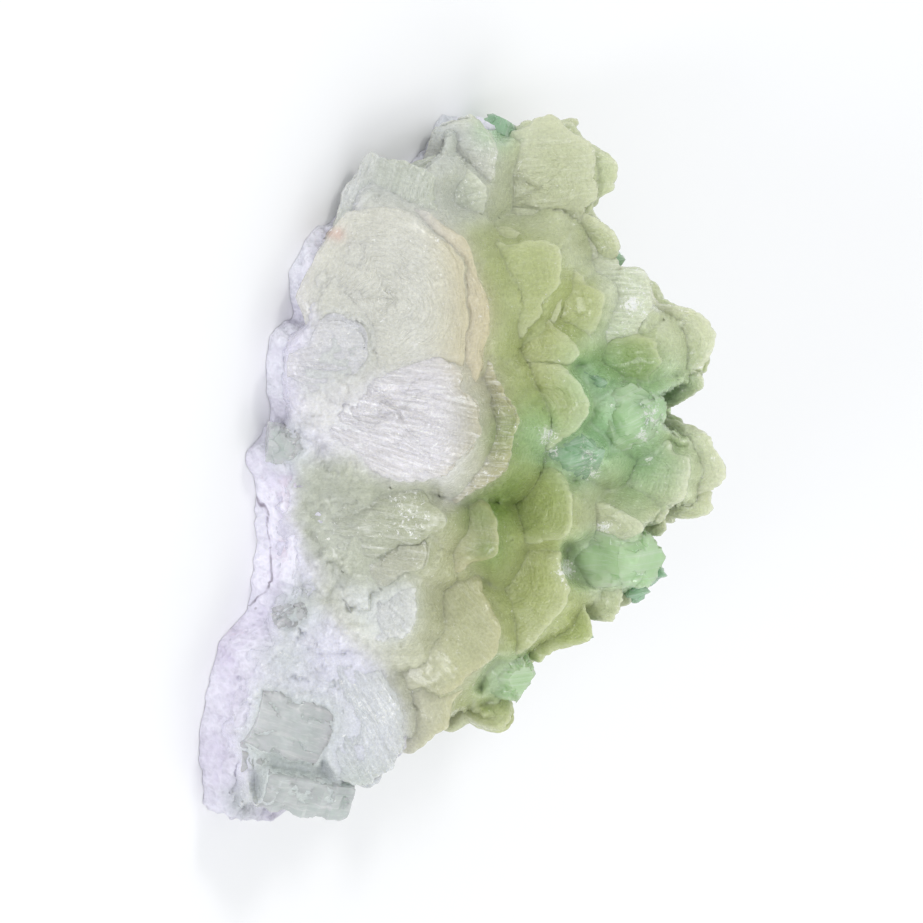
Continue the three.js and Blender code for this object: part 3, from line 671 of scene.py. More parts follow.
def chipped(outline, centre, seed):
    """Outline with straight breaks: where a point lies further out than a line at a chosen
    angle and distance, it is drawn back to the line."""
    arms = outline - centre
    for chip in range(CHIPS):
        draw = corner_number(np.array([[seed, chip, 1], [seed, chip, 2]]), 5)
        angle = np.pi / 2 + draw[0] * CHIP_TURN
        normal = np.array([np.cos(angle), np.sin(angle)])
        outward = arms @ normal
        limit = outward.max() * (CHIP_KEPT + CHIP_SPREAD * draw[1])
        arms = arms * np.minimum(1, limit / np.maximum(outward, LEAST_OUTWARD))[:, None]
    return centre + arms


def leaf_grid(shape, axes, narrower, growth_kind, seed, inside=None):
    """A leaf as a closed pillow: its rings of points, and their marks. A point is
    centre + radius * (outline - centre) across the leaf, and height * thickness / 2 out of it,
    and BACK_DEPTH times that behind it, where the leaf grows into its neighbours. The rim is
    moved in and out by lobes and by plates, which are bands of the thickness with rims of
    their own. The faces carry ridges that fan out with the growth, flutes that run out to the
    lobes, a low swell, facets, and rings that follow the rim."""
    root, growth, side, _, length = axes
    kind = GROWTH[growth_kind]
    outline, path = leaf_outline(shape, length, narrower, kind["step"])
    halves = np.array(shape["halves"]) * narrower
    centre = np.array([(halves[1] - halves[0]) / 2, length * LEAF_MIDDLE])
    outline = chipped(outline, centre, seed)
    reach = np.linalg.norm(outline - centre, axis=1)
    thickness = shape["thickness"]
    radius, height = pillow_profile(reach.mean(), thickness / 2, PILLOW_POWER, kind["step"] * PROFILE_STEP)

    plate = np.clip(((height + 1) / 2 * kind["plates"]).astype(int), 0, kind["plates"] - 1)
    rims = plate_rims(kind, path, seed)[plate]
    on_sheet = on_drawing(root + outline[:, :1] * side + outline[:, 1:] * growth)
    inner = 0 if inside is None else looked_up(inside, *on_sheet)
    wide, fine = (line_noise(path, cell, seed + k) for cell, k in zip(WANDER_CELLS, (29, 31)))
    wander = kind["wander"] * (wide + WANDER_FINE * fine) * (1 + INNER_WANDER * inner)
    free = smooth(outline[:, 1], length * FREE_FROM, length * FREE_AT)
    beside = 1 - smooth(outline[:, 1], length * BESIDE_FROM, length * BESIDE_AT)
    moved = (rims + wander) * free + RIM_GROWTH + INNER_GROWTH * inner * beside
    scale = radius[:, None] * (1 + moved * (radius**RIM_POWER)[:, None] / reach)
    flat = centre + scale[..., None] * (outline - centre)
    x, y = flat[..., 0], flat[..., 1]

    fan = x / mix(shape["waist"], 1, np.clip(y / (length * shape["shoulder"]), 0, 1))
    spread = np.stack([fan, y * RIDGE_STRETCH, np.full_like(x, seed * 3.7)], -1)
    coarse, fine = (noise(spread, cell, seed + k) for cell, k in zip(RIDGE_CELLS, (41, 43)))
    ridges = kind["ridge"] * (coarse + FINE_RIDGES * fine)
    flutes = FLUTE_HEIGHT * kind["lobe_depth"] * (rims - rims.mean())
    flutes = flutes * (radius**FLUTE_POWER)[:, None] * free
    here = np.stack([x, y, np.full_like(x, seed)], -1)
    swell = relief(here, *SWELL, seed + 47) + relief(here, *RIPPLE, seed + 49)
    broken = facets(here[..., :2], *BREAK, seed + 51)
    swell += broken * np.where(height < 0, BACK_BREAKS, 1)[:, None]
    from_rim = (1 - radius)[:, None] * reach
    off_rim = from_rim + relief(here, *RING_WANDER, seed + 57)
    along_rings = [x * RING_DRIFT, y * RING_DRIFT, off_rim]
    rings = noise(np.stack(along_rings, -1), RING_SPACING, seed + 53)
    swell += kind["rings"] * rings * np.exp(-from_rim / RING_REACH) * free
    taper = mix(1, LEAF_TIP_THICKNESS, np.clip(y / length, 0, 1) ** TAPER_POWER)
    deep = np.where(height < 0, BACK_DEPTH, 1)[:, None]
    bow = BOW * (x - centre[0]) ** 2 / halves.mean()
    out = height[:, None] * (thickness / 2 * taper * deep + ridges + flutes + swell) - bow
    return grown_points(axes, x, y, out, [fan, y, from_rim], corner_number(np.array([seed, 7, 1]), 3))


def grown_points(axes, x, y, out, grain, tone):
    """Points of a crystal at x to its side, y along it and out of its face, none of them below
    LOWEST_POINT, with the marks that its finish reads: its grain, its own tone and its painted glints."""
    root, growth, side, face, _ = axes
    points = root + x[..., None] * side + y[..., None] * growth + out[..., None] * face
    points[..., 2] = np.maximum(points[..., 2], LOWEST_POINT)
    marks = {"grain": np.stack(grain, -1), "tone": np.full(x.shape, tone), "painted_glint": painted_glint_share(points)}
    return points, marks


# painted glints: places where bright glittering highlights are painted on: across and up on the drawing, and
# their radius
PAINTED_GLINT_PLACES = np.array([
    (13, 5.2, 1.9), (18.8, 2.2, 2.0), (19.8, -0.3, 1.3), (28.5, 8.2, 2.3), (27, 5.2, 1.4), (15.5, -15, 1.7),
    (25.5, 24.8, 1.3), (28.4, 1.6, 0.8), (21.3, -8.5, 1.2), (14, 2.5, 1.0),
])


def painted_glint_share(points):
    """How much a point belongs to a place with painted glints."""
    return places_share(PAINTED_GLINT_PLACES, *on_drawing(points))


# ---------------------------------------------------------------- apophyllite prisms

PRISM_ROUNDING = {"mint": 30, "teal": 36, "frost": 5}  # the higher, the sharper the edges
PRISM_RELIEF = {"mint": 0.7, "teal": 0.45, "frost": 0.7}
PRISM_STEPS = {"mint": 0.5, "teal": 0.5, "frost": 0.4}
PRISM_AROUND = 72
PRISM_START = 0.02  # radians: the first point round it lies just past the middle of a face
BODY_RINGS, TIP_RINGS = 22, 30
SHORTEST_BODY = 1
END_FILL = np.array([0.0, 0.35, 0.7, 0.93])  # rings that close an end, as shares of its radius
LEAST_RADIUS = 0.02
TINY = 1e-3
CUT_TIP = 0.03  # how far below the end the last ring lies
TERRACE_CELL, TERRACES = 0.4, 3  # cell of the steps, in widths, and how many reach their full height
MARKS_RELIEF, MARKS_STRETCH = (1.3, 0.2), 0.5  # growth marks, drawn out along the prism
PRISM_FACETS = 0.3  # the cell of its facets, in widths
RELIEF_FROM, RELIEF_AT = 0.2, 1.5  # the radii where the relief starts, and is full


def prism_grid(shape, axes, across, kind, seed):
    """Rings of a square prism with its corners cut by a four-sided pyramid. At a height y up
    the prism and an angle round it, the radius is the soft least of the prism's own faces,
    half width / |cos| and half width / |sin|, and the pyramid's, (apex - y) / point /
    (|cos| + |sin|). Steps and fine growth marks are added to the radius."""
    length = axes[-1]
    half = across / 2
    apex = length / 2 + shape["top"] * across * shape["point"]
    angle = np.arange(PRISM_AROUND) / PRISM_AROUND * 2 * np.pi + PRISM_START
    cos, sin = np.abs(np.cos(angle)), np.abs(np.sin(angle))
    pyramid_start = max(apex - shape["point"] * half * 2, -length / 2 + SHORTEST_BODY)
    body = np.linspace(-length / 2, pyramid_start, BODY_RINGS)[:-1]
    height = np.concatenate([body, np.linspace(pyramid_start, length / 2 - CUT_TIP, TIP_RINGS)])
    room = (apex - height)[:, None] / shape["point"] / (cos + sin)
    faces = [half / np.maximum(cos, TINY), half * shape["flatness"] / np.maximum(sin, TINY)]
    power = PRISM_ROUNDING[kind]
    near = sum((1 / near_face) ** power for near_face in faces)
    radius = (near + (1 / np.maximum(room, TINY)) ** power) ** (-1 / power)
    up_prism = np.broadcast_to(height[:, None], radius.shape)
    spread = np.stack([radius * np.cos(angle), up_prism * MARKS_STRETCH, radius * np.sin(angle)], -1)
    terrace = np.floor(noise(spread, across * TERRACE_CELL, seed) * TERRACES) / TERRACES
    steps = PRISM_STEPS[kind] * terrace + relief(spread, *MARKS_RELIEF, seed + 3)
    unrolled = np.stack(np.broadcast_arrays(np.sin(angle) * across, height[:, None]), -1)
    steps += facets(unrolled, across * PRISM_FACETS, PRISM_RELIEF[kind], seed + 5)
    radius = np.maximum(radius + steps * smooth(radius, RELIEF_FROM, RELIEF_AT), LEAST_RADIUS)

    radius = np.concatenate([radius[:1] * END_FILL[:, None], radius, radius[-1:] * END_FILL[::-1, None]])
    closing = len(END_FILL)
    height = np.concatenate([np.full(closing, height[0]), height, np.full(closing, height[-1])])
    x, z = radius * np.cos(-angle), radius * np.sin(-angle)
    y = np.broadcast_to(height[:, None], x.shape) + length / 2
    return grown_points(axes, x, y, z, [x, y, length - y], corner_number(np.array([seed, 9, 2]), 3))


# ---------------------------------------------------------------- the chalcedony crust

CRUST_OUTLINE = np.array([
    (55.5, -22.5, 5), (49, -27, 7), (41, -30, 9), (31, -30, 9), (26, -26, 9), (15, -28, 7),
    (8, -33, 6), (3, -36, 6), (-3, -34, 5), (-9, -38, 6), (-14, -40, 7), (-18, -35, 7),
    (-24, -39, 7), (-31, -36, 3), (-43, -20, 3), (-47.5, -15, 5), (-53, -14, 6), (-54.5, -9, 7),
    (-52, -2, 6), (-45, 8, 8), (-38, 12, 9), (-29, 20, 9), (-21, 19, 10), (-12, 24, 10),
    (-2, 22, 11), (8, 24, 10), (17, 18, 10), (26, 18, 9), (35, 9, 9), (43, 4, 8), (48, -4, 6),
    (54, -10, 5), (55.5, -16, 5),
])
CRUST_CENTRE = np.array([0.0, 8.0])
EDGE_ROUNDS = 4  # how often each of its corners is drawn towards the two beside it
SHOULDER_RISE, SHOULDER_END = 3, 0.15
TOP_FROM, TOP_AT = 0.1, 0.6  # how far in the slope of the top starts, and has taken over
FRONT_HEIGHT = 9
RIDGE_HEIGHT = 15
RIDGE_HALF_LENGTH = 72
SLOPE_START = -12
SLOPE_END = 12
LUMP_ACROSS, LUMP_UP, LUMP_RADIUS, LUMP_HEIGHT = -31.5, 2.0, 2.6, 1.3  # on the left side
BASE_PUSH = 0.6  # how much of the side's roughness is left at the flat underside
CRUST_AROUND = 560
LOOKUP_AROUND = 720  # points round the crust where only its height is wanted
FLOOR_SHARES = np.array([0, 0.25, 0.5, 0.75, 0.93, 0.985])  # rings of the underside
SIDE_RINGS = 16
BEND_SHARE, BEND_RINGS, TOP_RINGS = 0.12, 12, 62  # the rings are closer over the shoulder's bend
RAISED_AT = 0.35  # how far up the side its roughness is full
# roughness of the side and of the top: the cell and the height of a noise or of facets
SIDE_BROKEN, SIDE_LUMPS, SIDE_GRAINS = (4.2, 1.15), (1.4, 0.7), (1.0, 0.35)
SIDE_SET_IN = 0.6
PUSH_FROM = 0.75  # the share of the outline's reach from which the side's roughness is felt
TOP_LUMPS, TOP_BLOCKS, TOP_GRAINS = (3.0, 0.65), (2.3, 0.75), (1.2, 0.4)
GRAIN_FLOOR = 0.5  # lower than this the crust has no grains, so that its underside stays flat
ICED_TOP, ICED_UP, ICED_WANDER = 0.4, (5, 11), (4, 2)  # the icy upper end on the drawing
# the crust is painted paler about an up of -10, and, as painted light, from an up of 0 to 12 upwards, where
# its side lies in shade
PALE_UP, PALE_RADIUS, PAINTED_LIGHT_TOP, PAINTED_LIGHT_TOP_UP = -10, 14, 0.7, (0, 12)  # where it is palest
CRACK_WIDTH, CRACK_DEPTH, CRACK_WANDER = 0.5, 0.5, (2.6, 0.5)
CRACK = [(-30.1, -3.1), (-28.8, -6.6), (-28.3, -10.7), (-28, -15.8), (-28.8, -18.3), (-31.2, -19.8)]


def beside_line(points, line):
    """Distance on the drawing from points to a bent line, negative on its right: that of the
    nearest of its segments."""
    here = np.stack(on_drawing(points), -1)
    least = np.full(here.shape[:-1], FAR_AWAY)
    for start, end in zip(np.array(line[:-1], dtype=float), np.array(line[1:], dtype=float)):
        along = end - start
        share = np.clip(((here - start) @ along) / (along @ along), 0, 1)
        offset = here - start - share[..., None] * along
        side = np.sign(along[0] * offset[..., 1] - along[1] * offset[..., 0])
        away = np.linalg.norm(offset, axis=-1)
        least = np.where(away < np.abs(least), away * side, least)
    return least


def crust_edge(around):
    """The crust's outline and rim height, divided evenly, anticlockwise and slightly rounded."""
    closed = np.concatenate([CRUST_OUTLINE, CRUST_OUTLINE[:1]])[::-1]
    passed = passed_along(np.hypot(*np.diff(closed[:, :2], axis=0).T))
    at = np.arange(around) / around * passed[-1]
    edge = np.stack([np.interp(at, passed, closed[:, k]) for k in range(3)], -1)
    for _ in range(EDGE_ROUNDS):
        edge = (np.roll(edge, 1, 0) + 2 * edge + np.roll(edge, -1, 0)) / 4
    return edge


def crust_top(x, y, inside, rim):
    """Height of the crust's top: a shoulder that rises from the rim over the first part of the
    way in, then a slope from FRONT_HEIGHT in front to a ridge along the back, which falls off
    as 1 - (x / RIDGE_HALF_LENGTH)^2."""
    shoulder = rim + SHOULDER_RISE * smooth(inside, 0, SHOULDER_END)
    ridge = RIDGE_HEIGHT * (1 - (x / RIDGE_HALF_LENGTH) ** 2)
    slope = mix(FRONT_HEIGHT, ridge, smooth(y, SLOPE_START, SLOPE_END))
    return mix(shoulder, slope, smooth(inside, TOP_FROM, TOP_AT))


def crust_height(x, y):
    """Height of the crust's top at places in plan, and how far in from the outline they are:
    the outline's reach and rim are looked up by the angle round the centre."""
    edge = crust_edge(LOOKUP_AROUND)
    ring = edge[:, :2] - CRUST_CENTRE
    turn = np.arctan2(ring[:, 1], ring[:, 0])
    order = np.argsort(turn)
    angle = np.arctan2(y - CRUST_CENTRE[1], x - CRUST_CENTRE[0])
    reach = np.interp(angle, turn[order], np.linalg.norm(ring, axis=1)[order], period=2 * np.pi)
    rim = np.interp(angle, turn[order], edge[order, 2], period=2 * np.pi)
    inside = 1 - np.hypot(x - CRUST_CENTRE[0], y - CRUST_CENTRE[1]) / reach
    return crust_top(x, y, np.clip(inside, 0, 1), rim), inside


def crust_rings():
    """For each ring of the crust, from the middle of the underside over the side to the middle
    of the top: its share of the outline's reach, and its share of the way up the side."""
    climb = np.linspace(0, 1, SIDE_RINGS)
    bend = np.linspace(0, BEND_SHARE, BEND_RINGS)[1:]
    inward = np.concatenate([bend, np.linspace(BEND_SHARE, 1, TOP_RINGS)[1:]])
    shares = np.concatenate([FLOOR_SHARES, np.ones(SIDE_RINGS), 1 - inward])
    return shares, np.concatenate([np.zeros(len(FLOOR_SHARES)), climb, np.ones(len(inward))])


def crust_grid():
    """The crust: its outline, spread from the centre in shares, flat at the bottom, up the
    broken side to the rim, and in over the top. Rough noise is added along the outline, down
    the side and on the top, and a groove follows the crack."""
    edge = crust_edge(CRUST_AROUND)
    ring = edge[:, :2] - CRUST_CENTRE
    reach = np.linalg.norm(ring, axis=1)[:, None]
    rim = edge[:, 2]
    shares, climb = crust_rings()
    flat = CRUST_CENTRE + shares[:, None, None] * ring
    top = crust_top(flat[..., 0], flat[..., 1], 1 - shares[:, None], rim)
    z = np.where(climb[:, None] < 1, rim * climb[:, None], top)
    spread = np.concatenate([flat, z[..., None]], -1)
    raised = smooth(climb, 0.0, RAISED_AT)[:, None]

    across, up = on_drawing(spread)
    lump = np.exp(-((across - LUMP_ACROSS) ** 2 + (up - LUMP_UP) ** 2) / LUMP_RADIUS**2)
    wall = np.concatenate([CRUST_CENTRE + np.broadcast_to(ring, flat.shape), z[..., None]], -1)
    push = relief(wall, *SIDE_BROKEN, 61, 3) + relief(wall, *SIDE_LUMPS, 67) - SIDE_SET_IN
    push = push + LUMP_HEIGHT * lump + relief(wall, *SIDE_GRAINS, 69)
    push = push * mix(BASE_PUSH, 1, raised) * smooth(shares, PUSH_FROM, 1)[:, None]
    grains = relief(spread, *TOP_LUMPS, 71, 3) + facets(flat, *TOP_BLOCKS, 73)
    grains = grains + facets(flat, *TOP_GRAINS, 79)
    z = z + grains * raised * (z > GRAIN_FLOOR)
    points = np.concatenate([flat + push[..., None] * ring / reach, np.maximum(z, 0)[..., None]], -1)

    beside = beside_line(points, CRACK) + relief(spread, *CRACK_WANDER, 83)
    crack = np.exp(-((beside / CRACK_WIDTH) ** 2)) * raised
    points[..., :2] -= CRACK_DEPTH * crack[..., None] * ring / reach
    points[0] = points[0, 0]
    points[-1] = points[-1, 0]
    across, up = on_drawing(points)
    iced = ICED_TOP * smooth(up + relief(spread, *ICED_WANDER, 89), *ICED_UP)
    # the crust is painted paler here, and the pale mark adds painted light higher up, where its side lies in
    # shade
    pale = np.exp(-(((up - PALE_UP) / PALE_RADIUS) ** 2))
    marks = {
        "beside_crack": beside,
        "painted_glint": painted_glint_share(points),
        "iced": np.maximum(places_share(ICE_PLACES, across, up), iced),
        "pale": np.maximum(pale, PAINTED_LIGHT_TOP * smooth(up, *PAINTED_LIGHT_TOP_UP)),
    }
    return points, marks


# ---------------------------------------------------------------- the mass between the crystals

MASS_CELL = 0.4
MASS_ACROSS = np.arange(-44, 42, MASS_CELL)
MASS_UP = np.arange(-56, 58, MASS_CELL)
MASS_CLOSING = 5  # cells: clefts narrower than twice this are filled
MASS_INSET = 0.3  # how far it stays behind the crystals' faces
RIM_SHOWN = 0.8  # how much of a crystal's edge stands above the ramp at its foot
BANK_RIM_SHOWN = 0.1
RAMP_CELLS = 12
RAMP_SLOPE = 2.0  # how steeply it falls from one crystal to the next
RAMP_VARIETY = (5.0, 0.6)  # cell and height of the noise that varies it
BANK_SLOPE = 0.6
MASS_DEPTH = 5.0
MASS_EDGE_DEPTH = 0.3
STEEPEST = 3.4  # near the outline the mass is cut where it falls more than this over two cells
STEEP_KEPT_FROM = 0.3
GLASS_SHOWN = 0.85
GLASS_CLEFT = 0.3  # the deepest cleft left beside a prism
CRUST_CLEFT, CRUST_RISE = 1.2, 1.5  # behind the crust's bare front the mass rises out of it
CRUST_RISE_ACROSS = (0.5, 3)  # how far beyond the bare front it starts to rise, and ends
CRUST_HUE_END = 5  # how far beyond the bare front it still leans to the crust's colour
BARE_DROP = 2.5  # how far it lies below the bare front
BARE_ACROSS = (-0.3, 2.0)  # how far onto the bare front it starts to drop, and ends
# its broken ground: the cell and the height of facets or of a noise
BANK_BLOCKS, MASS_BLOCKS, MASS_LUMPS, MASS_GRAINS = (3.4, 0.95), (1.5, 0.45), (2.2, 0.3), (0.8, 0.16)
RISE_EDGE = (-0.3, 0.8)  # how far above the crystals it starts to be broken, and is
GLASS_EDGE = (0.3, 0.8)  # the shares of glass about a cell where it starts to be glassy, and is
FRONT_SET_BACK, FRONT_WANDER = 1.0, (4.5, 2.2)  # how far onto the bare front it reaches, and how that wanders
BANK_ACROSS, BANK_CRUST = (6, 16), 3  # from the middle leftwards, and from the bare front
NOTHING = -99.0
EDGE_DROP = 0.5  # how far it stays behind the crystals along the outline
EDGE_START = 5  # cells in from the outline where it starts to rise
EDGE_RISEN = 0.7  # the share of INNER_REACH further in where it has risen
INNER_REACH = 6
INSIDE_STEP, INSIDE_RINGS = 0.6, 60  # how finely the outlines of the leaves are filled
INSIDE_CLOSING = 8  # cells: clefts between leaves narrower than twice this are inside
SHADE_CELLS = 3
LEAST_SHARE = 0.01
# where the crust's bare front ends: across for each up on the drawing
FRONT_UP = [-46, -40, -33, -26, -20, -10, 0, 8, 16, 24, 32, 40, 46]
FRONT_ACROSS = [-34, -33, -32, -30, -26, -26, -26, -27, -26.5, -25, -23.5, -18, -12]


def disc(cells):
    """The steps from a cell to each cell of the round patch about it."""
    for over in range(-cells, cells + 1):
        reach = int((cells**2 - over**2) ** 0.5)
        for along in range(-reach, reach + 1):
            yield over, along


def spread_most(grid, cells, most=np.maximum):
    """The highest (or lowest) value within a round patch of cells about each cell."""
    result = grid
    for step in disc(cells):
        result = most(result, np.roll(grid, step, (0, 1)))
    return result


def closed_gaps(grid, cells):
    """Gaps less than twice as many cells wide closed: the highest values are spread, and then
    the lowest by as much."""
    return spread_most(spread_most(grid, cells), cells, np.minimum)


def inward_share(mask, start=1):
    """How far inside a mask each cell is: 0 until start cells from its edge, 1 from INNER_REACH
    cells further in. It is the mean of the mask, drawn in a cell at a time."""
    reaches = range(start, start + INNER_REACH)
    return sum(spread_most(mask, cells, np.minimum).astype(float) for cells in reaches) / INNER_REACH


def ramped(grid, slope, cells):
    """Ramps at the foot of every step: the highest of the values about a cell, each less its
    distance times the slope."""
    result = grid
    for step in disc(cells):
        fall = slope * (MASS_CELL * np.hypot(*step))
        result = np.maximum(result, np.roll(grid, step, (0, 1)) - fall)
    return result


def softened(grid, cells, times):
    """Running mean over a square of cells to either side, taken a number of times."""
    for _ in range(times):
        for axis in (0, 1):
            grid = sum(np.roll(grid, step, axis) for step in range(-cells, cells + 1)) / (2 * cells + 1)
    return grid


def looked_up(grid, across, up):
    """Value of a grid over the drawing at places on it, blended from the four nearest cells."""
    column = np.clip((across - MASS_ACROSS[0]) / MASS_CELL, 0, len(MASS_ACROSS) - 1.001)
    row = np.clip((up - MASS_UP[0]) / MASS_CELL, 0, len(MASS_UP) - 1.001)
    i, j = column.astype(int), row.astype(int)
    s, t = column - i, row - j
    if grid.ndim == 3:
        s, t = s[..., None], t[..., None]
    near = mix(grid[i, j], grid[i + 1, j], s)
    return mix(near, mix(grid[i, j + 1], grid[i + 1, j + 1], s), t)


def inside_share():
    """How far inside the cluster each cell over the drawing is: 0 at its outline, 1 from
    INNER_REACH cells inwards. The leaves' outlines are filled, and the clefts between them
    closed."""
    spots = []
    for _, leaves in SHEAVES.values():
        for shape in leaves:
            root, growth, side, _, length = crystal_axes(shape)
            outline, _ = leaf_outline(shape, length, 1, INSIDE_STEP)
            middle = np.array([0, length * LEAF_MIDDLE])
            shares = np.linspace(0, 1, INSIDE_RINGS)[:, None, None]
            filled = (middle + shares * (outline - middle)).reshape(-1, 2)
            spots.append(root + filled[:, :1] * side + filled[:, 1:] * growth)
    taken = nearest_points(np.concatenate(spots)) > NOTHING
    return inward_share(closed_gaps(taken, INSIDE_CLOSING))


def finer(grid):
    """The points of a grid of rings and the points half way between them."""
    round_again = np.roll(grid, -1, axis=1)
    rows = np.concatenate([grid, (grid + round_again) / 2], axis=1)
    return np.concatenate([rows, (rows[1:] + rows[:-1]) / 2]).reshape(-1, 3)


def nearest_points(points):
    """The nearest of the points to the viewer in each cell over the drawing, with empty cells
    between them filled."""
    offset = points - DRAWING_ORIGIN
    column = np.round((offset @ ACROSS - MASS_ACROSS[0]) / MASS_CELL).astype(int)
    row = np.round((offset @ UP - MASS_UP[0]) / MASS_CELL).astype(int)
    shape = (len(MASS_ACROSS), len(MASS_UP))
    fits = (column >= 0) & (column < shape[0]) & (row >= 0) & (row < shape[1])
    near = np.full(shape, NOTHING)
    np.maximum.at(near, (column[fits], row[fits]), (offset @ EYE)[fits])
    return closed_gaps(near, 1)


def nearest_crystals(crystals, across, up):
    """The nearest crystal in each cell: how far out it reaches, whether it is a prism, and its
    colour, which is the crust's where there is no crystal."""
    out = np.full(across.shape, NOTHING)
    glassy = np.zeros(across.shape, bool)
    shade = np.zeros(across.shape + (3,)) + shade_at("crust", across, up)
    for kind, points in crystals:
        near = nearest_points(points)
        wins = near > out
        out[wins] = near[wins]
        glassy[wins] = kind in PRISM_ROUNDING
        shade[wins] = shade_at(kind, across[wins], up[wins])
    return out, glassy, shade


def mass_shade(shade, known, beyond_front, across, up):
    """Colour of the mass: the running mean of the nearest crystals' colours, with painted shade
    in the recesses, the crust's on its bare front, and the chip."""
    # painted shade: the recesses darkened to a deep green
    shade = tinted(shade, PAINTED_SHADE_COLOUR, PAINTED_SHADE_STRENGTH * places_share(PAINTED_SHADE_PLACES, across, up))
    known = known[..., None].astype(float)
    known_about = np.maximum(softened(known, SHADE_CELLS, 2), LEAST_SHARE)
    shade = softened(shade * known, SHADE_CELLS, 2) / known_about
    shade = mix(shade_at("crust", across, up), shade, smooth(beyond_front, 0, CRUST_HUE_END)[..., None])
    return tinted(shade, CHIP_SHADE, places_share(CHIP_PLACES, across, up))


def filled_clefts(near, bank, plan):
    """The clefts closed, and a ramp down from every crystal to the one behind it, longer on the
    bank, which is also softer."""
    ground = np.where(near > NOTHING, near, spread_most(near, RAMP_CELLS))
    filled = closed_gaps(near, MASS_CLOSING)
    filled = np.where(filled > NOTHING, filled, ground)
    slope = RAMP_SLOPE + relief(plan, *RAMP_VARIETY, 409)
    filled = ramped(filled, mix(slope, BANK_SLOPE, bank), RAMP_CELLS) - mix(RIM_SHOWN, BANK_RIM_SHOWN, bank)
    return mix(filled, softened(filled, 2, 2), bank)


def behind_glass(filled, near, clear):
    """The mass held back where a prism is nearest: it stays behind the prism's face, but no
    further than GLASS_CLEFT behind those about it."""
    glass = softened(clear.astype(float), 2, 2)
    around = softened(np.where(clear, near, 0), 2, 2) / np.maximum(glass, LEAST_SHARE)
    top = np.where(clear, np.maximum(near, around - GLASS_CLEFT), around) - MASS_INSET
    return mix(filled, np.minimum(filled, top), GLASS_SHOWN * smooth(glass, *GLASS_EDGE))


def mass_surface(crust, crystals):
    """How far out the intergrown mass reaches over the drawing, where it is covered, and its
    colour. It fills the clefts between the nearest crystals with broken, faceted ground, stays
    MASS_INSET behind their faces, lies under the crust's bare front, and is cut near the
    outline where it is steepest."""
    across, up = np.meshgrid(MASS_ACROSS, MASS_UP, indexing="ij")
    plan = np.stack([across, up, np.zeros_like(across)], -1)
    bank = bank_share(across, up)
    front = np.interp(up, FRONT_UP, FRONT_ACROSS) - FRONT_SET_BACK
    front = front + relief(plan, *FRONT_WANDER, 411, 3)
    crust_near = nearest_points(crust)
    crystal_near, glassy, shade = nearest_crystals(crystals, across, up)
    known = (crystal_near > crust_near) | (crust_near > NOTHING)
    shade = mass_shade(shade, known, across - front, across, up)

    near = np.maximum(crystal_near, crust_near)
    mask = (near > NOTHING).astype(float)
    edge = inward_share(mask, EDGE_START)
    lowest = spread_most(np.where(mask > 0, near, -NOTHING), 1, np.minimum)
    behind = np.where(mask > 0, lowest, near) - MASS_INSET
    filled = filled_clefts(near, bank, plan)
    risen = CRUST_RISE * smooth(across - front, *CRUST_RISE_ACROSS)
    filled = np.maximum(filled, crust_near - CRUST_CLEFT + risen)
    rise = smooth(filled - near, *RISE_EDGE)
    grain = facets(plan[..., :2], *BANK_BLOCKS, 401) * bank + facets(plan[..., :2], *MASS_BLOCKS, 403)
    grain = grain + relief(plan, *MASS_LUMPS, 405) + relief(plan, *MASS_GRAINS, 407)
    broken = np.maximum(filled + grain * rise, behind)
    filled = mix(behind - EDGE_DROP, broken, smooth(edge, 0, EDGE_RISEN))
    filled = behind_glass(filled, near, glassy & (crystal_near > crust_near))
    filled = filled - BARE_DROP * smooth(front - across, *BARE_ACROSS)

    fall = spread_most(filled, 1) - spread_most(filled, 1, np.minimum)
    kept = (spread_most(mask, 4, np.minimum) > 0) & ((fall < STEEPEST) | (edge > STEEP_KEPT_FROM))
    covered = spread_most(spread_most(kept, 2, np.minimum), 2)
    return filled, covered, shade


def bank_share(across, up):
    """1 where the bank is, between the crust's bare front and the sheaves; 0 elsewhere."""
    beyond_crust = across - np.interp(up, FRONT_UP, FRONT_ACROSS)
    return smooth(-across, *BANK_ACROSS) * smooth(beyond_crust, 0, BANK_CRUST)


def mass_mesh(name, surface, covered, shade):
    """The mass as a slab: its front is the surface, and its back lies MASS_DEPTH behind, less
    towards its edges."""
    across, up = np.meshgrid(MASS_ACROSS, MASS_UP, indexing="ij")
    front = DRAWING_ORIGIN + across[..., None] * ACROSS + up[..., None] * UP + surface[..., None] * EYE
    depth = mix(MASS_EDGE_DEPTH, MASS_DEPTH, inward_share(covered))
    back = front - depth[..., None] * EYE
    back[..., 2] = np.maximum(back[..., 2], LOWEST_POINT)
    front[..., 2] = np.maximum(front[..., 2], LOWEST_POINT + 0.5)
    return slab_mesh(name, front, back, covered, shade)


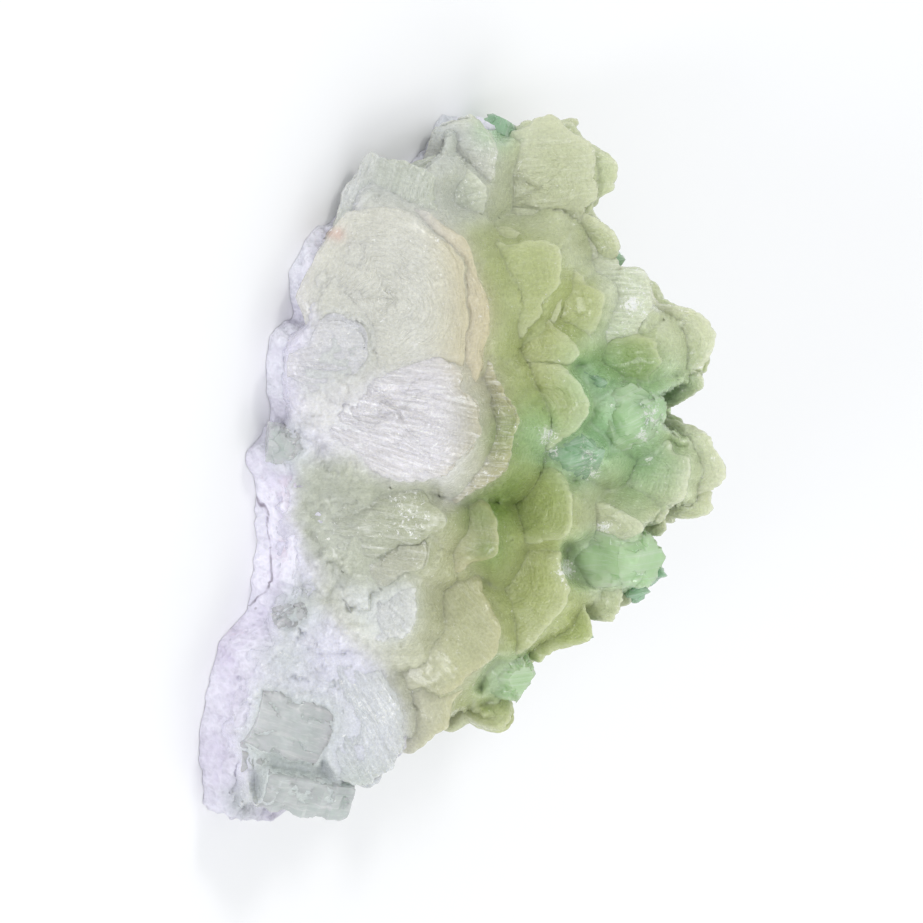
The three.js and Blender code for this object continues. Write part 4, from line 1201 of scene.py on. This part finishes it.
def slab_mesh(name, front, back, kept, shade):
    """Closed slab between two grids of points. A cell is kept where its four corners are; its
    edges get walls where the cell beside it isn't kept."""
    number = np.arange(kept.size).reshape(kept.shape)
    cell = kept[:-1, :-1] & kept[1:, :-1] & kept[1:, 1:] & kept[:-1, 1:]
    a, b, c, d = number[:-1, :-1], number[1:, :-1], number[1:, 1:], number[:-1, 1:]
    beyond = np.pad(cell, 1)
    faces = [np.stack([a, b, c, d], -1)[cell], np.stack([d, c, b, a], -1)[cell] + kept.size]
    sides = [
        (a, b, beyond[1:-1, :-2]), (b, c, beyond[2:, 1:-1]),
        (c, d, beyond[1:-1, 2:]), (d, a, beyond[:-2, 1:-1]),
    ]
    for first, second, beside in sides:
        wall = np.stack([second, first, first + kept.size, second + kept.size], -1)
        faces.append(wall[cell & ~beside])
    faces = np.concatenate(faces)
    used, faces = np.unique(faces, return_inverse=True)
    points = np.concatenate([front.reshape(-1, 3), back.reshape(-1, 3)])[used]
    across, up = on_drawing(points)
    marks = {
        "painted_glint": painted_glint_share(points),
        "grain": np.stack([up, across, np.full_like(up, 9.0)], -1),
        "shade": looked_up(shade, across, up),
    }
    return filled_mesh(name, points, faces.reshape(-1), np.full(faces.size // 4, 4), marks)


# ---------------------------------------------------------------- small crystals


SMALL_LEAVES = 130
# what their values are drawn from
SMALL_ACROSS, SMALL_DEEP = (-56, 55), (-38, 24)  # their place in plan
SMALL_LEAN, SMALL_STRAY = (0.1, 0.9), (-0.3, 0.3)
SMALL_LENGTH, SMALL_HALF, SMALL_LOPSIDED = (1.6, 4.5), (0.9, 1.9), (0.8, 1.2)
SMALL_THICKNESS, SMALL_SHOULDER, SMALL_BLUNTNESS = (0.5, 0.95), (0.55, 0.85), (1.3, 2.2)
SMALL_TURN = (-90, 90)
SMALL_ROOT = 1.0  # how far below the crust's top a small leaf starts
LEAN_CENTRE = np.array([0, -4, 0])
LEAST_INSIDE = 0.06
FRONT_LIMIT = -20  # no small leaves grow in front of this


def scattered_leaves():
    """Small leaves on the bare crust: chance places in plan, kept if they are well inside the
    outline and not at the front, that stand up and lean away from the crust's middle."""
    chance = np.random.default_rng(23)
    leaves = []
    while len(leaves) < SMALL_LEAVES:
        x, y = chance.uniform(*SMALL_ACROSS), chance.uniform(*SMALL_DEEP)
        height, inside = crust_height(x, y)
        if inside < LEAST_INSIDE or y < FRONT_LIMIT:
            continue
        away = np.array([x, y, 0]) - LEAN_CENTRE
        away = away / max(np.linalg.norm(away), TINY)
        growth = np.array([0, 0, 1.0]) + away * chance.uniform(*SMALL_LEAN)
        growth = growth + chance.uniform(*SMALL_STRAY, 3)
        growth /= np.linalg.norm(growth)
        length = chance.uniform(*SMALL_LENGTH)
        spot = np.array([x, y, height - SMALL_ROOT]) - DRAWING_ORIGIN
        tip = spot + growth * (length + SMALL_ROOT)
        half = chance.uniform(*SMALL_HALF)
        halves = (half, half * chance.uniform(*SMALL_LOPSIDED))
        leaves.append(leaf(
            (spot @ ACROSS, spot @ UP), height - SMALL_ROOT, (tip @ ACROSS, tip @ UP, tip @ EYE), halves,
            thickness=chance.uniform(*SMALL_THICKNESS), waist=0.8,
            shoulder=chance.uniform(*SMALL_SHOULDER), bluntness=chance.uniform(*SMALL_BLUNTNESS),
            turn=chance.uniform(*SMALL_TURN),
        ))
    return leaves


# ---------------------------------------------------------------- materials


def set_inputs(tree, node, values):
    """Sets or links inputs of a node, by name or number."""
    for socket, value in values.items():
        if isinstance(value, bpy.types.NodeSocket):
            tree.links.new(value, node.inputs[socket])
        else:
            node.inputs[socket].default_value = value


def add(tree, kind, inputs=None, **settings):
    """Adds a node to a tree, with its settings, and with its inputs set or linked."""
    node = tree.nodes.new(kind)
    for setting, value in settings.items():
        setattr(node, setting, value)
    set_inputs(tree, node, inputs or {})
    return node


def calculate(tree, operation, first, second=0.0, third=0.0):
    """Output of a Math node."""
    return add(tree, "ShaderNodeMath", {0: first, 1: second, 2: third}, operation=operation).outputs[0]


def product(tree, first, second):
    """Product of two values."""
    return calculate(tree, "MULTIPLY", first, second)


def blend(tree, share, first, second, way="MIX"):
    """Output of a Mix node for colours."""
    node = add(tree, "ShaderNodeMix", {0: share, 6: first, 7: second}, data_type="RGBA", blend_type=way)
    return node.outputs[2]


def ranged(tree, value, low, high, to_low=0.0, to_high=1.0):
    """Output of a Map Range node."""
    node = add(tree, "ShaderNodeMapRange", {0: value, 1: low, 2: high, 3: to_low, 4: to_high})
    return node.outputs[0]


def attribute(tree, name, output="Fac"):
    """Output of an Attribute node."""
    return add(tree, "ShaderNodeAttribute", attribute_name=name).outputs[output]


def combined(tree, x, y, z):
    """Vector of three values."""
    return add(tree, "ShaderNodeCombineXYZ", {0: x, 1: y, 2: z}).outputs[0]


def grey(tree, value):
    """Grey of a value."""
    return add(tree, "ShaderNodeCombineColor", {0: value, 1: value, 2: value}).outputs[0]


def cells(tree, position, scale):
    """Distance to the nearest point of a Voronoi Texture."""
    node = add(tree, "ShaderNodeTexVoronoi", {"Vector": position, "Scale": scale}, feature="F1")
    return node.outputs["Distance"]


def bump(tree, height, distance, strength):
    """Normal of a Bump node; distance in metres."""
    values = {"Height": height, "Distance": distance, "Strength": strength}
    return add(tree, "ShaderNodeBump", values).outputs[0]


def group(name, inputs, outputs):
    """An empty node group with these inputs and outputs, and its two end nodes."""
    tree = bpy.data.node_groups.new(name, "ShaderNodeTree")
    kinds = {"value": "NodeSocketFloat", "colour": "NodeSocketColor"}
    for socket, kind in inputs.items():
        tree.interface.new_socket(socket, in_out="INPUT", socket_type=kinds[kind])
    for socket, kind in outputs.items():
        tree.interface.new_socket(socket, in_out="OUTPUT", socket_type=kinds[kind])
    return tree, tree.nodes.new("NodeGroupInput"), tree.nodes.new("NodeGroupOutput")


def object_place(tree):
    """Object coordinates, in metres."""
    return add(tree, "ShaderNodeTexCoord").outputs["Object"]


def noise_texture(tree, vector, scale, detail=3.0, roughness=0.55, distortion=0.0):
    """Factor of a Noise Texture."""
    node = add(tree, "ShaderNodeTexNoise", {
        "Vector": vector, "Scale": scale, "Detail": detail, "Roughness": roughness, "Distortion": distortion
    })
    return node.outputs[0]


# clouds, veils and sugary grain in a crystal: scale, detail, roughness, darkest and palest
TINT_LAYERS = (
    (70.0, 3.0, 0.55, 0.95, 1.04),
    (260.0, 4.0, 0.65, 0.94, 1.05),
    (2300.0, 3.0, 0.75, 0.86, 1.11),
)
TONE_SPREAD, TONE_MIDDLE = 0.035, 0.97  # how much one crystal is paler than the next


def tint_group():
    """Colour of a crystal: its shade, with soft clouds, its own tone, and a paler rim, which
    fades as e^(-distance / width): partly the crystal's own edge colour and partly a painted
    glow of light through its thin edge."""
    tree, given, result = group(
        "growth_tint", {"Rim": "colour", "Rim Strength": "value", "Rim Width": "value"}, {"Color": "colour"},
    )
    position = object_place(tree)
    dark = calculate(tree, "MULTIPLY_ADD", attribute(tree, "tone"), TONE_SPREAD, TONE_MIDDLE)
    for scale, detail, roughness, darkest, palest in TINT_LAYERS:
        layer = noise_texture(tree, position, scale, detail, roughness)
        dark = product(tree, dark, ranged(tree, layer, 0.3, 0.7, darkest, palest))
    body = blend(tree, 1.0, attribute(tree, "shade", "Color"), grey(tree, dark), "MULTIPLY")
    rim_distance = add(tree, "ShaderNodeSeparateXYZ", {0: attribute(tree, "grain", "Vector")}).outputs[2]
    near = calculate(tree, "DIVIDE", rim_distance, given.outputs["Rim Width"])
    near = calculate(tree, "POWER", 2.718, product(tree, near, -1.0))
    near = product(tree, near, given.outputs["Rim Strength"])
    near = product(tree, near, attribute(tree, "rim_share"))
    tree.links.new(blend(tree, near, body, given.outputs["Rim"]), result.inputs["Color"])
    return tree


STREAK_STRETCH = 0.11  # how much slower the streaks change along the crystal than across it
RING_STRETCH = 0.12  # and the rim's lines along the rim
TONE_STEP = 9.0  # how far apart the streaks of two crystals are drawn from


def relief_group():
    """Height of the fine growth marks: streaks along the crystal, lines that follow its rim,
    and a fine grain."""
    tree, given, result = group(
        "growth_marks",
        {"Streaks": "value", "Rim Lines": "value", "Grain": "value"},
        {"Height": "value", "Streak": "value"},
    )
    parts = add(tree, "ShaderNodeSeparateXYZ", {0: attribute(tree, "grain", "Vector")}).outputs
    own = product(tree, attribute(tree, "tone"), TONE_STEP)
    lengthwise = combined(tree, parts[0], product(tree, parts[1], STREAK_STRETCH), own)
    streak = noise_texture(tree, lengthwise, 1.8, 4.0, 0.75, 0.9)
    flat = [product(tree, parts[k], RING_STRETCH) for k in (0, 1)]
    line = noise_texture(tree, combined(tree, *flat, parts[2]), 1.7, 3.0, 0.6, 0.3)
    fine = noise_texture(tree, object_place(tree), 1300.0, 4.0, 0.7)
    height = product(tree, streak, given.outputs["Streaks"])
    height = calculate(tree, "MULTIPLY_ADD", line, given.outputs["Rim Lines"], height)
    height = calculate(tree, "MULTIPLY_ADD", fine, given.outputs["Grain"], height)
    tree.links.new(height, result.inputs["Height"])
    tree.links.new(streak, result.inputs["Streak"])
    return tree


# painted glitter: white sparks painted on in place of highlights, and a pale veil painted over the places
# with painted glints
PAINTED_GLITTER_EDGE = 0.74  # sparks show where their noise is above this
PAINTED_GLINT_DENSITY = 0.21  # how much lower it is in a glittering place
PAINTED_GLINT_VEIL = 0.1  # and how much paler the whole place is


def speck_group():
    """Masks of small things in the crystal: brown specks, and painted glitter, white sparks that
    stand in for highlights, dense in the places with painted glints."""
    tree, given, result = group(
        "specks_and_painted_glitter",
        {"Speck Share": "value", "Painted Glitter Share": "value"},
        {"Speck": "value", "Painted Glitter": "value"},
    )
    position = object_place(tree)
    small = ranged(tree, cells(tree, position, 330.0), 0.10, 0.16, 1.0, 0.0)
    threshold = calculate(tree, "SUBTRACT", 1.0, given.outputs["Speck Share"])
    above = calculate(tree, "SUBTRACT", noise_texture(tree, position, 95.0, 2.0), threshold)
    tree.links.new(product(tree, small, ranged(tree, above, 0.0, 0.02)), result.inputs["Speck"])
    painted_glint = attribute(tree, "painted_glint")
    wander = ranged(tree, noise_texture(tree, position, 150.0, 2.0), 0.35, 0.7, -0.04, 0.04)
    wanted = calculate(tree, "MULTIPLY_ADD", painted_glint, PAINTED_GLINT_DENSITY, given.outputs["Painted Glitter Share"])
    edge = calculate(tree, "SUBTRACT", PAINTED_GLITTER_EDGE, calculate(tree, "ADD", wanted, wander))
    painted_sparks = noise_texture(tree, position, 1500.0, 4.0, 0.85, 0.5)
    mask = ranged(tree, calculate(tree, "SUBTRACT", painted_sparks, edge), 0.0, 0.06)
    mask = calculate(tree, "MAXIMUM", mask, product(tree, painted_glint, PAINTED_GLINT_VEIL))
    tree.links.new(mask, result.inputs["Painted Glitter"])
    return tree


def colour(red, green, blue):
    """Colour given as display values from 0 to 255, as linear light."""
    return (*map(float, linear_light([red, green, blue])), 1.0)


def new_material(name):
    """An empty material, its tree, its shader and its output."""
    material = bpy.data.materials.new(name)
    material.use_nodes = True
    tree = material.node_tree
    shader = tree.nodes["Principled BSDF"]
    return material, tree, shader, tree.nodes["Material Output"]


def use_group(tree, made, inputs):
    """Places a node group in a material, with its values."""
    node = tree.nodes.new("ShaderNodeGroup")
    node.node_tree = made
    set_inputs(tree, node, inputs)
    return node.outputs


TINT = tint_group()
MARKS = relief_group()
SPECKS = speck_group()
BROWN = colour(120, 88, 52)
WHITE = colour(250, 250, 246)
# painted shade for the furrows of the streaks
PAINTED_STREAK_SHADE = (0.74, 0.76, 0.7, 1.0)


def stilbite(name, rim, rim_strength, streaks_and_painted_light, lines, rough, scatter, painted_glitter, rim_width=0.8):
    """Pearly, translucent stilbite: light scatters inside it over the distance scatter, its
    streaks are painted with shade on their dark side and a highlight on their pale side, white
    glitter is painted on as highlights, and rim colours its edge to a depth of rim_width, partly
    in its own colour and partly as a painted glow of light through the thin edge."""
    material, tree, shader, _ = new_material(name)
    tint = use_group(tree, TINT, {"Rim": rim, "Rim Strength": rim_strength, "Rim Width": rim_width})
    marks = use_group(tree, MARKS, {"Streaks": streaks_and_painted_light, "Rim Lines": lines, "Grain": 0.48})
    specks = use_group(tree, SPECKS, {"Speck Share": 0.28, "Painted Glitter Share": painted_glitter})
    # painted shade in the streaks' furrows and a painted highlight on their crests
    painted_furrow_shade = ranged(tree, marks["Streak"], 0.3, 0.48, 0.45 * streaks_and_painted_light, 0.0)
    painted_crest_highlight = ranged(tree, marks["Streak"], 0.52, 0.68, 0.0, 0.55 * streaks_and_painted_light)
    shade = blend(tree, painted_furrow_shade, tint["Color"], PAINTED_STREAK_SHADE, "MULTIPLY")
    shade = blend(tree, painted_crest_highlight, shade, WHITE)
    # painted glitter: white sparks that stand in for highlights
    shade = blend(tree, product(tree, specks["Painted Glitter"], 0.85), shade, WHITE)
    shade = blend(tree, product(tree, specks["Speck"], 0.6), shade, BROWN)
    patch = noise_texture(tree, object_place(tree), 420.0, 3.0, 0.6)
    patch = ranged(tree, patch, 0.38, 0.62, rough - 0.24, rough - 0.08)
    gloss = calculate(tree, "MULTIPLY_ADD", specks["Painted Glitter"], -0.1, patch)
    gloss = calculate(tree, "ADD", gloss, ranged(tree, marks["Streak"], 0.3, 0.7, 0.08, -0.08))
    set_inputs(tree, shader, {
        "Base Color": shade,
        "Roughness": gloss,
        "Normal": bump(tree, marks["Height"], 0.0006, 0.9),
        "IOR": 1.5,
        "Subsurface Weight": 0.35,
        "Subsurface Radius": (1.0, 0.95, 0.72),
        "Subsurface Scale": scatter,
        "Specular IOR Level": 0.7,
        "Coat Weight": 0.3,
        "Coat Roughness": 0.16,
    })
    return material


def apophyllite(name, body, veil, clear, absorbed, density, streaks_and_painted_light):
    """Glassy apophyllite: clear with milky veils, streaks painted white as highlights, plain absorption, and
    painted glitter.
    """
    material, tree, shader, output = new_material(name)
    marks = use_group(tree, MARKS, {"Streaks": 0.5, "Rim Lines": 0.3, "Grain": 0.25})
    specks = use_group(tree, SPECKS, {"Speck Share": 0.0, "Painted Glitter Share": 0.06})
    cloud = ranged(tree, noise_texture(tree, object_place(tree), 190.0, 4.0, 0.65), 0.42, 0.7)
    shade = blend(tree, cloud, colour(*body), colour(*veil))
    shade = blend(tree, 0.45, shade, attribute(tree, "shade", "Color"))
    # a painted highlight along the streaks
    shade = blend(tree, ranged(tree, marks["Streak"], 0.5, 0.68, 0.0, streaks_and_painted_light), shade, WHITE)
    # painted glitter: white sparks that stand in for highlights
    shade = blend(tree, product(tree, specks["Painted Glitter"], 0.9), shade, WHITE)
    gloss = ranged(tree, cloud, 0.0, 1.0, 0.08, 0.24)
    set_inputs(tree, shader, {
        "Base Color": shade,
        "Roughness": calculate(tree, "ADD", gloss, product(tree, specks["Painted Glitter"], 0.1)),
        "Normal": bump(tree, marks["Height"], 0.0003, 0.6),
        "IOR": 1.535,
        "Transmission Weight": clear,
        "Subsurface Weight": 0.5,
        "Subsurface Radius": (0.8, 1.0, 0.85),
        "Subsurface Scale": 0.004,
    })
    absorption = add(tree, "ShaderNodeVolumeAbsorption", {"Color": colour(*absorbed), "Density": density})
    tree.links.new(absorption.outputs[0], output.inputs["Volume"])
    return material


def chalcedony():
    """Granular, faintly lilac white crust with pinkish patches, dark crack and specks."""
    material, tree, shader, _ = new_material("lilac_white_chalcedony")
    position = object_place(tree)
    patches = ranged(tree, noise_texture(tree, position, 120.0, 4.0, 0.6), 0.48, 0.68)
    shade = blend(tree, patches, colour(236, 233, 245), colour(218, 211, 229))
    pink = ranged(tree, noise_texture(tree, position, 85.0, 5.0, 0.7, 0.6), 0.6, 0.72, 0.0, 0.45)
    shade = blend(tree, pink, shade, colour(222, 196, 204))
    veil = ranged(tree, noise_texture(tree, position, 230.0, 4.0, 0.65), 0.35, 0.65)
    iced = product(tree, attribute(tree, "iced"), calculate(tree, "MULTIPLY_ADD", veil, 0.5, 0.5))
    shade = blend(tree, iced, shade, colour(208, 213, 214))
    specks = use_group(tree, SPECKS, {"Speck Share": 0.34, "Painted Glitter Share": 0.02})
    # painted glitter: white sparks that stand in for highlights
    shade = blend(tree, product(tree, specks["Painted Glitter"], 0.6), shade, WHITE)
    shade = blend(tree, product(tree, specks["Speck"], 0.75), shade, colour(96, 78, 62))
    off_crack = calculate(tree, "ABSOLUTE", attribute(tree, "beside_crack"))
    crack = ranged(tree, off_crack, 0.05, 0.24, 1.0, 0.0)
    broken = ranged(tree, noise_texture(tree, position, 420.0, 2.0), 0.35, 0.6, 0.15, 0.75)
    shade = blend(tree, product(tree, crack, broken), shade, colour(112, 98, 112))
    fine = noise_texture(tree, position, 1600.0, 4.0, 0.7)
    sugar = calculate(tree, "MULTIPLY_ADD", fine, 0.6, product(tree, cells(tree, position, 1150.0), 0.6))
    mottle = ranged(tree, noise_texture(tree, position, 520.0, 4.0, 0.7), 0.35, 0.65, 0.93, 1.02)
    dark = product(tree, ranged(tree, sugar, 0.25, 0.75, 0.88, 1.03), mottle)
    # paler where the pale mark is: partly painted light on a side of the crust that lies in shade
    dark = product(tree, dark, calculate(tree, "MULTIPLY_ADD", attribute(tree, "pale"), 0.2, 0.98))
    set_inputs(tree, shader, {
        "Base Color": blend(tree, 1.0, shade, grey(tree, dark), "MULTIPLY"),
        "Roughness": ranged(tree, sugar, 0.2, 0.8, 0.45, 0.7),
        "Normal": bump(tree, sugar, 0.0007, 0.9),
        "IOR": 1.5,
        "Subsurface Weight": 0.3,
        "Subsurface Radius": (1.0, 0.92, 0.95),
        "Subsurface Scale": 0.0022,
    })
    return material


# rim colours: partly the stilbite's own cream edge, partly a painted glow of light through its thin edges
CREAM_RIM = colour(209, 197, 156)
PALE_RIM = colour(222, 224, 196)
# rim colour (partly own, partly painted glow), its strength, streaks (relief with painted shade and
# highlight), lines along the rim, roughness, scatter, painted glitter and rim width
STILBITE = {
    "cream": stilbite("cream_stilbite", CREAM_RIM, 0.42, 0.18, 1.0, 0.4, 0.0022, 0.1, 2.2),
    # painted shade: a darker copy of the cream stilbite, for sheaves in the shade of others
    "dusk": stilbite("painted_shade_cream_stilbite", CREAM_RIM, 0.25, 0.22, 0.5, 0.4, 0.0022, 0.09),
    "streaked": stilbite("streaked_stilbite", CREAM_RIM, 0.35, 0.9, 1.0, 0.34, 0.0018, 0.15, 1.2),
    "grey": stilbite("grey_stilbite", PALE_RIM, 0.35, 0.55, 0.7, 0.38, 0.0018, 0.15),
    "olive": stilbite("olive_stilbite", PALE_RIM, 0.3, 0.14, 0.5, 0.4, 0.0022, 0.09),
    "spring": stilbite("spring_stilbite", PALE_RIM, 0.35, 0.32, 0.8, 0.38, 0.0022, 0.12),
    "silver": stilbite("silver_stilbite", PALE_RIM, 0.4, 0.8, 0.4, 0.3, 0.0018, 0.16),
}
CLEFT = stilbite("intergrown_stilbite", WHITE, 0.0, 0.05, 0.1, 0.38, 0.0022, 0.11)
# the kinds that grow in ways of their own but share a material
STILBITE.update(dict.fromkeys(("lilac", "mist", "crag", "serrated", "small"), STILBITE["grey"]))
STILBITE_SLOTS = {
    "cream": "stilbite_cream", "dusk": "stilbite_cream", "streaked": "stilbite_cream",
    "olive": "stilbite_olive", "spring": "stilbite_spring", "silver": "stilbite_spring",
}
GREY_SLOT = "stilbite_grey"
GREY_SHEAVES = ("pale_upper_blade",)  # of another kind, but GREY_SLOT is looked up for them
# body and veil, how clear, the colour that is let through, the absorption and the painted highlight of the
# streaks
APOPHYLLITE = {
    "mint": apophyllite(
        "mint_apophyllite", (194, 230, 172), (218, 242, 200), 0.32, (180, 226, 175), 7.0, 0.3
    ),
    "teal": apophyllite(
        "teal_apophyllite", (168, 217, 178), (198, 230, 198), 0.35, (156, 222, 182), 7.0, 0.35
    ),
    "frost": apophyllite(
        "frosted_apophyllite", (211, 218, 213), (240, 243, 241), 0.35, (214, 234, 224), 5.0, 0.5
    ),
}

# ---------------------------------------------------------------- the specimen

# edges sharper than this many degrees stay sharp
LEAF_CREASE, PRISM_CREASE, CRUST_CREASE, MASS_CREASE = 38, 24, 60, 80
SHARED_SHADE = 0.35  # how much a crystal takes on the colour of its surroundings
LEFT_RIM_SHARE = 0.15
HUE_SPREAD = np.array([0.05, 0.0, 0.1])

crust_points, crust_marks = crust_grid()
inside = inside_share()
grids = {}
for number, (node, (kind, leaves)) in enumerate(SHEAVES.items()):
    grids[node] = []
    for index, shape in enumerate(leaves):
        for layer in range(shape["layers"]):
            seed = 1000 + 97 * number + 31 * index + 7 * layer
            axes = layer_axes(crystal_axes(shape), shape, layer)
            grids[node].append(leaf_grid(shape, axes, 1 - LAYER_SHRINK * layer, kind, seed, inside))
for number, (node, (kind, shape)) in enumerate(PRISMS.items()):
    grids[node] = [prism_grid(shape, crystal_axes(shape), shape["across"], kind, 3000 + 53 * number)]

crystal_kinds = {node: kind for node, (kind, _) in {**SHEAVES, **PRISMS}.items()}
crystal_kinds["apophyllite_bottom_block"] = "frost"  # the paler end of the mint
surface, covered, shade = mass_surface(
    finer(crust_points),
    [(crystal_kinds[node], finer(points)) for node, grown in grids.items() for points, _ in grown],
)


def shaded_mesh(name, kind, points, marks):
    """A crystal's closed mesh. Its shade is that of its kind, leaning a little to another hue by
    chance, and blended with its surroundings'. Its rim is tinted in full on the right only."""
    across, up = on_drawing(points)
    own = shade_at(kind, across, up) * (1 + HUE_SPREAD * marks["tone"][..., None])
    shade_here = mix(own, looked_up(shade, across, up), SHARED_SHADE)
    rim_share = mix(LEFT_RIM_SHARE, 1, smooth(across, -6, 0))
    return closed_mesh(name, points, {**marks, "shade": shade_here, "rim_share": rim_share})


for node, grown in grids.items():
    kind = crystal_kinds[node]
    meshes = [shaded_mesh(node + "_crystal", kind, points, marks) for points, marks in grown]
    if node in SHEAVES:
        slot = GREY_SLOT if node in GREY_SHEAVES else STILBITE_SLOTS.get(kind, GREY_SLOT)
        add_piece(node + "_crystals", grown_together(node, meshes), STILBITE[kind], slot, LEAF_CREASE, node)
    else:
        slot = "apophyllite_" + PRISMS[node][0]
        add_piece(node + "_crystals", meshes[0], APOPHYLLITE[kind], slot, PRISM_CREASE, node)

mass = mass_mesh("intergrown_mass", surface, covered, shade)
add_piece("intergrown_mass", mass, CLEFT, "stilbite_olive", MASS_CREASE)

scattered = []
for index, shape in enumerate(scattered_leaves()):
    points, marks = leaf_grid(shape, crystal_axes(shape), 1, "small", 8000 + 13 * index)
    scattered.append(shaded_mesh("scattered_leaf", "small", points, marks))
small_leaves = grown_together("scattered_leaves", scattered)
add_piece("scattered_leaves", small_leaves, STILBITE["small"], GREY_SLOT, PRISM_CREASE)

crust = closed_mesh("chalcedony_crust", crust_points, crust_marks)
add_piece("chalcedony_crust", crust, chalcedony(), "chalcedony", CRUST_CREASE, "chalcedony_matrix")

# ---------------------------------------------------------------- floor, light and camera

FLOOR_HALF = 2.0
FLOOR_HEIGHT = -1e-4
LIT_SPOT = np.array([0.0, -0.0022, 0.02])
CAMERA_DISTANCE = 1.5
SENSOR_WIDTH = 36
VIEW_WIDTH = 0.13845  # the width of what the camera sees at the drawing
VIEW_CENTRE = (0.225, 1.275)  # across and up
# direction, distance, size, power and colour
SOFTBOXES = {
    "key_softbox": ((-0.75, -0.35, 0.75), 1.1, 0.16, 2.0, (1.0, 0.99, 0.97)),
    "top_softbox": ((0.6, 0.65, 0.85), 1.1, 0.8, 2.9, (1.0, 1.0, 0.97)),
    "front_softbox": ((0.35, -0.95, 0.25), 1.3, 0.3, 4.5, (0.94, 0.93, 1.0)),
}


def add_floor():
    """A plain pale floor, just under the specimen."""
    mesh = bpy.data.meshes.new("studio_floor")
    sides = [(-1, -1), (1, -1), (1, 1), (-1, 1)]
    corners = [(FLOOR_HALF * x, FLOOR_HALF * y, FLOOR_HEIGHT) for x, y in sides]
    mesh.from_pydata(corners, [], [(0, 1, 2, 3)])
    material, tree, shader, _ = new_material("pale_floor")
    shade = ranged(tree, noise_texture(tree, object_place(tree), 3.0, 2.0), 0.3, 0.7, 0.9, 0.93)
    set_inputs(tree, shader, {"Base Color": grey(tree, shade), "Roughness": 0.75})
    mesh.materials.append(material)
    floor = bpy.data.objects.new("studio_floor", mesh)
    bpy.context.scene.collection.objects.link(floor)


def add_softbox(name, direction, distance, size, power, tint):
    """A square area light that points at the specimen from a direction."""
    light = bpy.data.lights.new(name, "AREA")
    light.shape = "SQUARE"
    light.size = size
    light.energy = power
    light.color = tint
    lamp = bpy.data.objects.new(name, light)
    away = np.array(direction, dtype=float)
    away /= np.linalg.norm(away)
    lamp.location = LIT_SPOT + away * distance
    lamp.rotation_mode = "QUATERNION"
    lamp.rotation_quaternion = (-Vector(away)).to_track_quat("-Z", "Y")
    bpy.context.scene.collection.objects.link(lamp)


def add_camera():
    """The camera looks back along EYE, with ACROSS to its right."""
    lens = bpy.data.cameras.new("camera")
    lens.sensor_width = SENSOR_WIDTH
    lens.lens = SENSOR_WIDTH * CAMERA_DISTANCE / VIEW_WIDTH
    lens.clip_start = 0.05
    lens.clip_end = 10
    camera = bpy.data.objects.new("camera", lens)
    spot = place(*VIEW_CENTRE, 0) * MM + EYE * CAMERA_DISTANCE
    turned = np.eye(4)
    turned[:3] = np.stack([ACROSS, UP, EYE, spot], -1)
    camera.matrix_world = Matrix(turned.tolist())
    bpy.context.scene.collection.objects.link(camera)
    bpy.context.scene.camera = camera


def add_surroundings():
    """An even, almost white surrounding light."""
    world = bpy.data.worlds.new("studio")
    world.use_nodes = True
    sky = world.node_tree.nodes["Background"]
    sky.inputs["Color"].default_value = (0.95, 0.97, 1.0, 1.0)
    sky.inputs["Strength"].default_value = 0.84
    bpy.context.scene.world = world


add_floor()
add_surroundings()
for name, values in SOFTBOXES.items():
    add_softbox(name, *values)
add_camera()
bpy.context.scene.view_settings.view_transform = "Standard"
